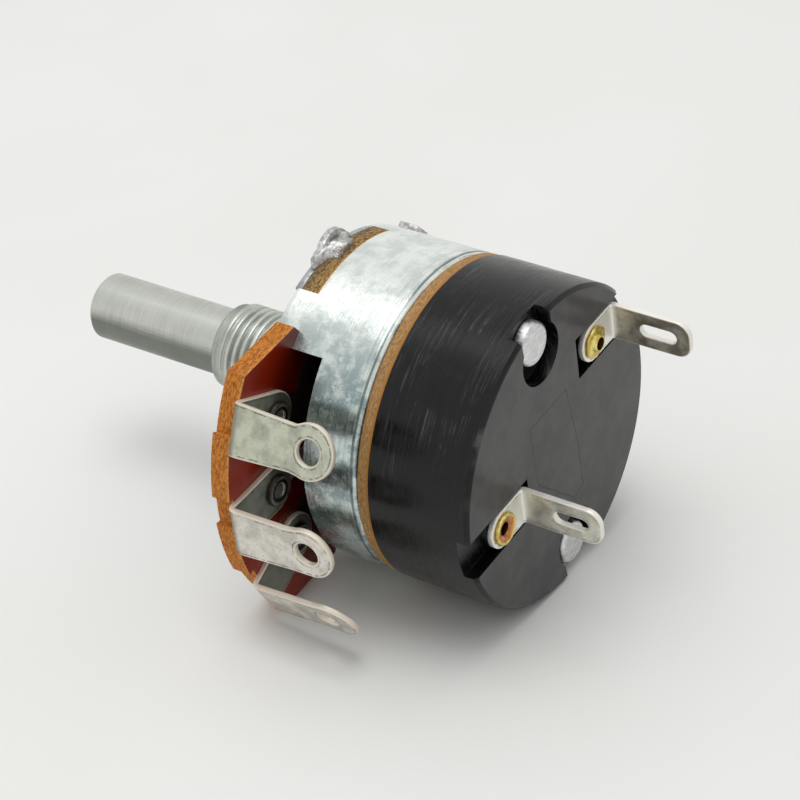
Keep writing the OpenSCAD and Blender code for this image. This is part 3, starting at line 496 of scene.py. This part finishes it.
def carrier_board():
    g = Graph("carrier_board")
    fibre = g.noise(1.0, 5.0, 0.7, g.scaled(2.0, 2.0, 8.0))
    flecks = g.noise(5.0, 4.0, 0.6)
    colour = g.mix(g.span(fibre, 0.35, 0.65), linear(96, 48, 22), linear(142, 80, 40))
    colour = g.mix(g.span(flecks, 0.55, 0.72, 0.0, 0.5), colour, linear(70, 34, 16))
    normal = g.bump(fibre, 0.04)
    return g.finish(Base_Color=colour, Roughness=0.5, Normal=normal)


def carbon():
    g = Graph("carbon")
    grain = g.noise(12.0, 5.0, 0.7)
    rings = g.noise(1.0, 4.0, 0.6, g.around(0.2, 5.0))
    colour = g.mix(g.span(grain, 0.4, 0.65), linear(14, 13, 13), linear(34, 31, 30))
    roughness = g.span(rings, 0.35, 0.65, 0.3, 0.5)
    normal = g.bump(grain, 0.006)
    return g.finish(Base_Color=colour, Roughness=roughness, Normal=normal)


def silver_print():
    g = Graph("silver_print")
    grain = g.noise(10.0, 5.0, 0.7)
    colour = g.mix(g.span(grain, 0.35, 0.65), linear(150, 150, 146), linear(206, 206, 202))
    normal = g.bump(grain, 0.01)
    return g.finish(Base_Color=colour, Metallic=0.8, Roughness=0.45, Normal=normal)


def housing_resin():
    """Black moulded resin: rubbed rings round the side, and a rear face painted greyer as sheen, with pale
    dust flecks.
    """
    g = Graph("housing_resin")
    x, _, z = g.split(g.place)
    rear = g.math("MULTIPLY", g.span(g.along_axis(), 0.7, 0.95), g.span(z, REAR_Z - 0.3, REAR_Z - 0.1))
    rings = g.noise(1.0, 6.0, 0.7, g.around(0.16, 4.0))
    fine = g.noise(1.0, 5.0, 0.7, g.around(0.55, 13.0))
    cloud = g.noise(0.3, 4.0, 0.6)
    dust = g.noise(11.0, 4.0, 0.6)
    side = g.mix(g.span(rings, 0.42, 0.68), linear(6, 6, 7), linear(17, 17, 19))
    streaks = g.noise(1.0, 4.0, 0.65, g.around(0.14, 9.0))
    scratches = g.math("MULTIPLY", g.span(streaks, 0.54, 0.68), g.span(cloud, 0.44, 0.6))
    # Painted sheen: the scratches are painted pale, more so towards the upper side, where the light catches
    # them.
    upper_sheen = g.span(x, 2.0, 9.0, 0.02, 0.5)
    side = g.mix(g.math("MULTIPLY", scratches, upper_sheen), side, linear(116, 118, 122))
    # Painted sheen: the rear face is painted grey, much lighter than the black side, with pale dust flecks.
    back = g.mix(g.span(cloud, 0.35, 0.65), linear(60, 60, 61), linear(74, 73, 73))
    back = g.mix(g.span(dust, 0.68, 0.8, 0.0, 0.4), back, linear(100, 100, 100))
    colour = g.mix(rear, side, back)
    roughness = g.span(g.math("ADD", g.math("MULTIPLY", rings, g.math("SUBTRACT", 1.0, rear)), cloud),
                       0.75, 1.25, 0.15, 0.32)
    roughness = g.math("ADD", roughness, g.math("MULTIPLY", rear, 0.08))
    mark = g.polygon_line(MOULD_LINE, 0.1)
    colour = g.mix(g.math("MULTIPLY", g.math("MULTIPLY", mark, rear), 0.85), colour, linear(22, 22, 22))
    moulded = g.math("SUBTRACT", 1.0, rear)
    normal = g.bump(g.math("MULTIPLY", rings, moulded), 0.018)
    normal = g.bump(g.math("MULTIPLY", fine, moulded), 0.004, normal)
    normal = g.bump(g.noise(0.5, 3.0, 0.5), 0.02, normal)
    return g.finish(Base_Color=colour, Roughness=roughness, Normal=normal, IOR=1.37)


def driver_plastic():
    g = Graph("driver_plastic")
    cloud = g.noise(0.8, 4.0, 0.6)
    grain = g.noise(9.0, 4.0, 0.6)
    colour = g.mix(g.span(cloud, 0.35, 0.65), linear(214, 208, 190), linear(236, 232, 218))
    colour = g.mix(g.span(grain, 0.6, 0.8, 0.0, 0.2), colour, linear(190, 182, 160))
    normal = g.bump(grain, 0.01)
    return g.finish(Base_Color=colour, Roughness=0.42, Normal=normal)


MATERIALS = {
    "shaft_metal": shaft_metal(),
    "bushing_metal": bushing_metal(),
    "plate_metal": plate_metal(),
    "wafer_board": wafer_board(),
    "carbon": carbon(),
    "silver_print": silver_print(),
    "tag_metal": tag_metal(),
    "rivet_metal": rivet_metal(),
    "washer_brass": plain_metal("washer_brass", linear(214, 186, 110), linear(150, 120, 60), 0.34),
    "clip_steel": plain_metal("clip_steel", linear(120, 122, 126), linear(66, 68, 72), 0.36),
    "carrier_board": carrier_board(),
    "spring_bronze": plain_metal("spring_bronze", linear(214, 170, 120), linear(160, 112, 70), 0.3),
    "cover_zinc": cover_zinc(),
    "insulator_board": insulator_board(),
    "housing_resin": housing_resin(),
    "terminal_metal": terminal_metal(),
    "eyelet_brass": eyelet_brass(),
    "driver_plastic": driver_plastic(),
    "spring_steel": plain_metal("spring_steel", linear(206, 208, 212), linear(130, 132, 138), 0.3),
}


def dress_node(name, bevel):
    """Gives a CAD node its material, clean facets and rounded edges."""
    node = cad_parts[name]
    slot_name = node.data.materials[0].name
    node.data.materials.clear()
    node.data.materials.append(MATERIALS[slot_name])
    with bpy.context.temp_override(object=node, active_object=node, selected_objects=[node]):
        bpy.ops.mesh.customdata_custom_splitnormals_clear()
    for polygon in node.data.polygons:
        polygon.use_smooth = True
    for edge in node.data.edges:
        edge.use_edge_sharp = False
    weld = node.modifiers.new("weld", "WELD")
    weld.merge_threshold = 0.002 * MM
    flat = node.modifiers.new("flat", "DECIMATE")
    flat.decimate_type = "DISSOLVE"
    flat.angle_limit = math.radians(0.4)
    if bevel:
        rounding = node.modifiers.new("rounding", "BEVEL")
        rounding.width = bevel * MM
        rounding.segments = 2
        rounding.limit_method = "ANGLE"
        rounding.angle_limit = math.radians(35)
        rounding.use_clamp_overlap = True
        rounding.harden_normals = False
    weighted = node.modifiers.new("weighted", "WEIGHTED_NORMAL")
    weighted.keep_sharp = True
    weighted.weight = 80


BEVELS = {
    "shaft": 0.08, "front_plate": 0.1, "wafer": 0.08, "carbon_track": 0, "collector_ring": 0,
    "tag_first": 0.1, "tag_wiper": 0.1, "tag_last": 0.1, "tag_rivets": 0.12, "thrust_washer": 0.05,
    "retaining_clip": 0.05, "wiper_carrier": 0.06, "wiper_spring": 0.03, "cover": 0.1,
    "insulator": 0.08, "switch_housing": 0.08, "terminal_upper": 0.1, "terminal_lower": 0.1,
    "terminal_eyelets": 0.1, "housing_rivets": 0.12, "switch_driver": 0.06, "switch_lever": 0.06,
    "contact_bridge": 0.04, "detent_spring": 0.03, "bushing": 0.05,
}
for node_name, width in BEVELS.items():
    dress_node(node_name, width)


def add_object(name, data):
    """A new object of the scene, made from a mesh, lamp or camera."""
    made = bpy.data.objects.new(name, data)
    bpy.context.scene.collection.objects.link(made)
    return made


def new_piece(name, points, faces, slot_name, body="body"):
    """A mesh piece from points in the frame, with its material, riding on a body."""
    mesh = bpy.data.meshes.new(name)
    mesh.from_pydata([tuple(p) for p in points], [], faces)
    mesh.validate()
    mesh.update()
    for polygon in mesh.polygons:
        polygon.use_smooth = True
    mesh.materials.append(MATERIALS[slot_name])
    piece = add_object(name, mesh)
    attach(piece, body)
    return piece


def rings_to_faces(count, rings, closed):
    """Quads between neighbouring rings of points, each ring itself closed."""
    faces = []
    last = rings if closed else rings - 1
    for i in range(last):
        here = i * count
        after = (i + 1) % rings * count
        for k in range(count):
            right = (k + 1) % count
            faces.append((here + k, here + right, after + right, after + k))
    return faces


def turned_piece(name, profile, segments, slot_name, middle=(0.0, 0.0)):
    """A body of revolution about an axis along the shaft. The profile is a closed loop of
    (height, radius), where a radius may be a function of the angle in turns."""
    points = []
    for z, radius in profile:
        for k in range(segments):
            turn = k / segments
            r = radius(turn) if callable(radius) else radius
            x = middle[0] + r * math.cos(math.tau * turn)
            y = middle[1] + r * math.sin(math.tau * turn)
            points.append(lie(x, y, z))
    return new_piece(name, points, rings_to_faces(segments, len(profile), True), slot_name)


def arc(middle, radius, start, end, count):
    """Points on an arc, from one angle to another in degrees."""
    points = []
    for k in range(count + 1):
        a = math.radians(start + (end - start) * k / count)
        points.append((middle[0] + radius * math.cos(a), middle[1] + radius * math.sin(a)))
    return points


def round_hole(middle, radius):
    """A round hole's outline, with the metal on its left."""
    return arc(middle, radius, 360, 10, 35)


def turned_place(out, across, angle):
    """A place in the cross-section, given outwards from the shaft and across at an angle in radians."""
    return (out * math.cos(angle) - across * math.sin(angle),
            out * math.sin(angle) + across * math.cos(angle))


def smooth(share):
    """A share from 0 to 1, eased at both ends."""
    return share * share * (3 - 2 * share)


def inset(loop, distance):
    """A loop moved to its left, which is where the metal lies."""
    moved = []
    for k, here in enumerate(loop):
        before, after = Vector(loop[k - 1]), Vector(loop[(k + 1) % len(loop)])
        first = (Vector(here) - before).normalized()
        second = (after - Vector(here)).normalized()
        left = Vector((-first.y - second.y, first.x + second.x))
        share = max(0.4, 1 + first.dot(second))
        moved.append(Vector(here) + left / share * distance)
    return moved


def bent_sheet(name, slot_name, loops, thickness, bend_start, place_of):
    """A sheet strip folded up by a right angle. Loops are flat outlines of (across, along), the
    outer one first, with the metal on their left. place_of takes (across, out, height)."""
    bevel = 0.07
    corner = bevel * 0.3
    inner_line = 0.34
    outer_r = thickness + BEND_INNER_R
    middle_r = outer_r - thickness / 2
    # Each ring's last number is 1 on the rounded edge, where the sheet materials paint a highlight, and 0
    # further in.
    rings = [(inner_line, 0, 0), (bevel, 0, 1), (corner, corner, 1), (0, bevel, 1),
             (0, thickness - bevel, 1), (corner, thickness - corner, 1),
             (bevel, thickness, 1), (inner_line, thickness, 0)]
    mesh = bpy.data.meshes.new(name)
    work = bmesh.new()
    layer = work.verts.layers.float.new("edge")
    caps = [[], []]
    for loop in loops:
        rows = []
        for distance, height, edge_highlight in rings:
            row = []
            for p in inset(loop, distance):
                vertex = work.verts.new((p.x, p.y, height))
                vertex[layer] = edge_highlight
                row.append(vertex)
            rows.append(row)
        for lower, upper in zip(rows, rows[1:]):
            for k in range(len(loop)):
                work.faces.new((lower[k - 1], lower[k], upper[k], upper[k - 1]))
        caps[0].append(rows[0])
        caps[1].append(rows[-1])
    for cap in caps:
        corners = [vertex for row in cap for vertex in row]
        for triangle in tessellate_polygon([[vertex.co.copy() for vertex in row] for row in cap]):
            work.faces.new([corners[k] for k in triangle])
    bend_end = bend_start + middle_r * math.pi / 2
    cuts = 10
    for k in range(cuts + 1):
        along = bend_start + (bend_end - bend_start) * k / cuts
        everything = list(work.verts) + list(work.edges) + list(work.faces)
        bmesh.ops.bisect_plane(work, geom=everything, dist=1e-5,
                               plane_co=(0, along, 0), plane_no=(0, 1, 0))
    for vertex in work.verts:
        across, along, height = vertex.co
        turn = min(max((along - bend_start) / middle_r, 0), math.pi / 2)
        reach = outer_r - height
        out = min(along, bend_start) + reach * math.sin(turn)
        up = outer_r - reach * math.cos(turn) + max(0.0, along - bend_end)
        vertex.co = place_of(across, out, up)
    bmesh.ops.recalc_face_normals(work, faces=list(work.faces))
    for face in work.faces:
        face.smooth = True
    work.to_mesh(mesh)
    work.free()
    mesh.materials.append(MATERIALS[slot_name])
    piece = add_object(name, mesh)
    weighted = piece.modifiers.new("weighted", "WEIGHTED_NORMAL")
    weighted.weight = 80
    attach(piece, "body")
    return piece


def make_tag(node_name, angle, fold, neck, end, end_r, hole, hole_r):
    """A solder tag. Widths are (left, right) at the fold and at the neck, heights are above the
    wafer's rear face, and the end and the hole are (across, height)."""
    outer_r = TAG_T + BEND_INNER_R
    bend_start = TAG_BEND_R - outer_r - TAG_RIVET_R
    bend_end = bend_start + (outer_r - TAG_T / 2) * math.pi / 2
    foot_r = 2.2
    foot_end = bend_start * 0.6
    rivet_hole_r = 0.95
    shoulder = 1.0

    def along(height):
        return bend_end + height - outer_r

    def place_of(across, out, up):
        return lie(*turned_place(TAG_RIVET_R + out, across, math.radians(angle)), TRACK_Z + up)

    fold_at = along(shoulder)
    neck_at = along(neck[2])
    middle = (end[0], along(end[1]))
    blend = 8
    right = math.degrees(math.acos(min(1.0, (neck[1] - end[0]) / end_r))) - blend
    left = math.degrees(math.acos(min(1.0, (end[0] - neck[0]) / end_r))) - blend
    outline = arc((0, 0), foot_r, 180, 360, 24)
    outline += [(foot_r, foot_end), (fold[1], fold_at), (neck[1], neck_at)]
    outline += arc(middle, end_r, -right, 180 + left, 48)
    outline += [(neck[0], neck_at), (fold[0], fold_at), (-foot_r, foot_end)]
    loops = [outline, round_hole((hole[0], along(hole[1])), hole_r), round_hole((0, 0), rivet_hole_r)]
    piece = bent_sheet(node_name + "_strip", "tag_metal", loops, TAG_T, bend_start, place_of)
    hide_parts(node_name)


def make_terminal(node_name, place, slot_low, slot_high):
    """A switch terminal: a round-ended base with a slotted arm folded up from it. The slot's ends
    are heights above the rear face."""
    outer_r = TERMINAL_T + BEND_INNER_R
    base_z = REAR_Z + FIT_GAP - TERMINAL_T
    bend_start = TERMINAL_REACH - outer_r
    bend_end = bend_start + (outer_r - TERMINAL_T / 2) * math.pi / 2
    half = TERMINAL_W / 2
    corner = 1.3
    slot_r = 0.6
    eye_r = 1.0

    def along(z):
        return bend_end + z - base_z - outer_r

    def place_of(across, out, up):
        return lie(place[0] + across, place[1] - out, base_z + up)

    outline = arc((0, 0), half, 180, 360, 24)
    corner_at = along(TERMINAL_TOP) - corner
    outline += arc((half - corner, corner_at), corner, 0, 90, 12)
    outline += arc((corner - half, corner_at), corner, 90, 180, 12)
    low = along(REAR_Z + slot_low + slot_r)
    high = along(REAR_Z + slot_high - slot_r)
    slot = arc((0, low), slot_r, 0, -180, 16) + arc((0, high), slot_r, 180, 0, 16)
    loops = [outline, slot, round_hole((0, 0), eye_r)]
    piece = bent_sheet(node_name + "_strip", "terminal_metal", loops, TERMINAL_T, bend_start, place_of)
    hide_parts(node_name)


def thread_radius(z):
    """Radius of the thread at a height, as a function of the angle in turns."""
    fade = max(0.0, min(1.0, (z - THREAD_START) / THREAD_PITCH, -z / THREAD_PITCH))
    steepness = 3.0

    def radius(turn):
        phase = (z / THREAD_PITCH + turn) % 1.0
        groove = smooth(max(0.0, 1.0 - abs(phase - 0.5) * steepness))
        return BUSHING_D / 2 - THREAD_DEPTH * fade * groove
    return radius


def make_bushing():
    """The bushing, with its thread as a true helix."""
    thread_r = BUSHING_D / 2
    lead_r = thread_r - LEAD_STEP
    chamfer = 0.2
    step = 0.075
    thread_gap = 0.12
    plate_back = PLATE_T + FIT_GAP
    flange_back = plate_back + FLANGE_T
    profile = [
        (-BUSHING_LEN, BORE_R), (-BUSHING_LEN, BORE_R + CREASE),
        (-BUSHING_LEN, lead_r - chamfer - CREASE), (-BUSHING_LEN, lead_r - chamfer),
        (-BUSHING_LEN + chamfer, lead_r), (-BUSHING_LEN + chamfer + CREASE, lead_r),
        (THREAD_START - thread_gap - CREASE, lead_r), (THREAD_START - thread_gap, lead_r)]
    for k in range(int(-THREAD_START / step)):
        z = THREAD_START + k * step
        profile.append((z, thread_radius(z)))
    profile += [
        (-CREASE, thread_r), (0.0, thread_r), (0.0, thread_r + CREASE), (0.0, NECK_R), (CREASE, NECK_R),
        (plate_back, NECK_R), (plate_back, NECK_R + CREASE), (plate_back, FLANGE_R),
        (plate_back + CREASE, FLANGE_R), (flange_back, FLANGE_R), (flange_back, FLANGE_R - CREASE),
        (flange_back, NECK_R), (BOSS_Z, NECK_R), (BOSS_Z, NECK_R - CREASE), (BOSS_Z, BORE_R + CREASE),
        (BOSS_Z, BORE_R), (BOSS_Z - CREASE, BORE_R), (-BUSHING_LEN + CREASE, BORE_R)]
    piece = turned_piece("threaded_bushing", profile, 120, "bushing_metal")
    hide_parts("bushing")


def make_eyelets():
    """Rolled eyelets: one flares into petals round a raised tube, the other is dished."""
    bore = 0.5
    shank = 0.95
    flange = 1.35
    flange_t = 0.4
    depth = 2.6
    petals = 6
    seat = REAR_Z + FIT_GAP
    floor_z = REAR_Z - depth
    under = floor_z - flange_t

    def petal(size):
        def radius(turn):
            return size + 0.1 * abs(math.cos(math.pi * petals * turn + 0.4)) ** 3
        return radius

    inner = [(under, bore), (under, flange), (floor_z, flange), (floor_z, shank), (seat, shank)]
    # The crowns' points are (height above the seat, radius)
    tube = [(0, petal(1.2)), (0.12, petal(1.4)), (0.24, petal(1.36)), (0.26, petal(1.1)),
            (0.2, 0.86), (0.34, 0.74), (0.6, 0.7), (0.66, 0.62), (0.6, 0.52)]
    dish = [(0, 1.2), (0.06, 1.4), (0.2, 1.46), (0.34, 1.38), (0.38, 1.26),
            (0.3, 1.14), (0.22, 0.9), (0.16, 0.66), (0.06, 0.54)]
    for name, middle, crown in (("eyelet_upper", EYELET_PLACES[0], tube),
                                ("eyelet_lower", EYELET_PLACES[1], dish)):
        profile = inner + [(seat + height, radius) for height, radius in crown]
        piece = turned_piece(name, profile, 72, "eyelet_brass", middle)
        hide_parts("terminal_eyelets")


def make_lug():
    """The plate's lug that is hammered over the wafer: a wrinkled head, wider below than at its top."""
    angle = math.radians(LUG_ANGLE)
    middle = Vector((13.5, 0.0, 0.86))
    half_height = 0.96
    half_width = 2.12
    taper = 0.86
    flare = 0.42
    inward = 1.95
    outward = 1.2
    outward_taper = 0.12
    step_z = 0.75
    step_height = 0.4
    swell = 0.08
    segments = 128
    rows = 40

    def dent(spot):
        """How far the hammered surface stands out or in at a place."""
        wave = noise.fractal(spot * 1.3, 0.8, 2.1, 4) * 0.1
        wrinkle = abs(noise.noise(spot * 1.1 + Vector((3, 1, 7)))) * 0.16
        return wave - wrinkle

    points = []
    for i in range(rows + 1):
        tilt = math.pi * (i / rows - 0.5)
        up = math.copysign(abs(math.sin(tilt)) ** 0.55, tilt)
        height = middle.z + half_height * up
        step = min(max((height - step_z) / step_height, 0.0), 1.0)
        width = half_width - taper * smooth(step)
        round_out = abs(math.cos(tilt)) ** 0.3
        for k in range(segments):
            turn = math.tau * k / segments
            side = Vector((math.cos(turn), math.sin(turn)))
            side = side / (abs(side.x) ** 3 + abs(side.y) ** 3) ** (1 / 3)
            depth = inward if side.x < 0 else outward - outward_taper * step
            reach = width * (1 + flare * (1 - step)) if side.y > 0 else width
            spot = Vector((middle.x + depth * round_out * side.x, reach * round_out * side.y, height))
            spot += (spot - middle).normalized() * (swell + dent(spot))
            out, across, spot_z = spot
            points.append(lie(*turned_place(out, across, angle), spot_z))
    faces = rings_to_faces(segments, rows + 1, False)
    faces.append(tuple(reversed(range(segments))))
    faces.append(tuple(rows * segments + k for k in range(segments)))
    new_piece("plate_lug_head", points, faces, "plate_metal")


make_bushing()
make_lug()
make_eyelets()
make_tag("tag_last", angle=TAG_ANGLES[2], fold=(-2.2, 2.3), neck=(-2.0, 1.95, 6.1),
         end=(-0.15, 7.7), end_r=2.35, hole=(-0.1, 7.7), hole_r=1.12)
make_tag("tag_wiper", angle=TAG_ANGLES[1], fold=(-2.25, 2.4), neck=(-2.35, 2.0, 5.8),
         end=(-0.4, 7.75), end_r=2.35, hole=(-0.35, 7.65), hole_r=1.1)
make_tag("tag_first", angle=TAG_ANGLES[0], fold=(-2.3, 2.2), neck=(-2.9, 1.25, 6.0),
         end=(-0.95, 7.7), end_r=2.35, hole=(-0.95, 7.3), hole_r=1.0)
make_terminal("terminal_upper", EYELET_PLACES[0], slot_low=2.75, slot_high=6.1)
make_terminal("terminal_lower", EYELET_PLACES[1], slot_low=3.0, slot_high=6.2)


def make_floor():
    half = 1.5
    mesh = bpy.data.meshes.new("floor")
    corners = [(-half, -half, FLOOR_Z), (half, -half, FLOOR_Z), (half, half, FLOOR_Z), (-half, half, FLOOR_Z)]
    mesh.from_pydata(corners, [], [(0, 1, 2, 3)])
    floor = add_object("floor", mesh)
    g = Graph("floor_paper")
    grain = g.noise(0.02, 3.0, 0.5)
    colour = g.mix(g.span(grain, 0.3, 0.7), linear(233, 233, 230), linear(238, 238, 236))
    mesh.materials.append(g.finish(Base_Color=colour, Roughness=0.6, Specular_IOR_Level=0.2))


def make_lamp(name, place, target, size, power):
    data = bpy.data.lights.new(name, "AREA")
    data.shape = "RECTANGLE"
    data.size = size[0]
    data.size_y = size[1]
    data.energy = power
    lamp = add_object(name, data)
    lamp.location = place
    lamp.rotation_mode = "QUATERNION"
    lamp.rotation_quaternion = (Vector(target) - Vector(place)).to_track_quat("-Z", "Y")


def make_world():
    world = bpy.data.worlds.new("studio")
    bpy.context.scene.world = world
    world.use_nodes = True
    tree = world.node_tree
    tree.nodes.clear()
    output = tree.nodes.new("ShaderNodeOutputWorld")
    background = tree.nodes.new("ShaderNodeBackground")
    path = tree.nodes.new("ShaderNodeLightPath")
    ramp = tree.nodes.new("ShaderNodeMapRange")
    direction = tree.nodes.new("ShaderNodeTexCoord")
    toward = tree.nodes.new("ShaderNodeVectorMath")
    toward.operation = "DOT_PRODUCT"
    toward.inputs[1].default_value = Vector((0.0, -0.2, 0.98)).normalized()
    tree.links.new(direction.outputs["Generated"], toward.inputs[0])
    ramp.interpolation_type = "SMOOTHSTEP"
    for key, value in (("From Min", -0.2), ("From Max", 0.95), ("To Min", 0.18), ("To Max", 0.92)):
        ramp.inputs[key].default_value = value
    tree.links.new(toward.outputs["Value"], ramp.inputs["Value"])
    mix = tree.nodes.new("ShaderNodeMix")
    mix.data_type = "RGBA"
    seen = path.outputs["Is Camera Ray"]
    for kind in ("Is Glossy Ray", "Is Transmission Ray"):
        more = tree.nodes.new("ShaderNodeMath")
        more.operation = "MAXIMUM"
        tree.links.new(seen, more.inputs[0])
        tree.links.new(path.outputs[kind], more.inputs[1])
        seen = more.outputs[0]
    tree.links.new(seen, mix.inputs[0])
    tree.links.new(ramp.outputs[0], mix.inputs[6])
    mix.inputs[7].default_value = linear(236, 236, 234)
    tree.links.new(mix.outputs[2], background.inputs["Color"])
    tree.links.new(background.outputs[0], output.inputs[0])


def make_camera():
    """The photograph's camera, found from the part's own outlines."""
    place = lie(154.120, 149.546, 124.990)
    aim = lie(4.610, 4.764, 9.372)
    upward = lie(0.7689, -0.5812, -0.2665).normalized()
    field = math.radians(15.716)
    forward = (aim - place).normalized()
    right = forward.cross(upward).normalized()
    up = right.cross(forward)
    data = bpy.data.cameras.new("camera")
    data.sensor_width = 36
    data.lens = data.sensor_width / 2 / math.tan(field / 2)
    data.clip_start = 0.01
    data.clip_end = 20
    camera = add_object("camera", data)
    camera.matrix_world = Matrix.Translation(place) @ Matrix((right, up, -forward)).transposed().to_4x4()
    bpy.context.scene.camera = camera


make_floor()
make_world()
make_lamp("softbox", place=(0.03, -0.03, 0.58), target=(0, 0.005, 0), size=(0.36, 0.36), power=1.02)
make_camera()
bpy.context.scene.view_settings.view_transform = "Standard"
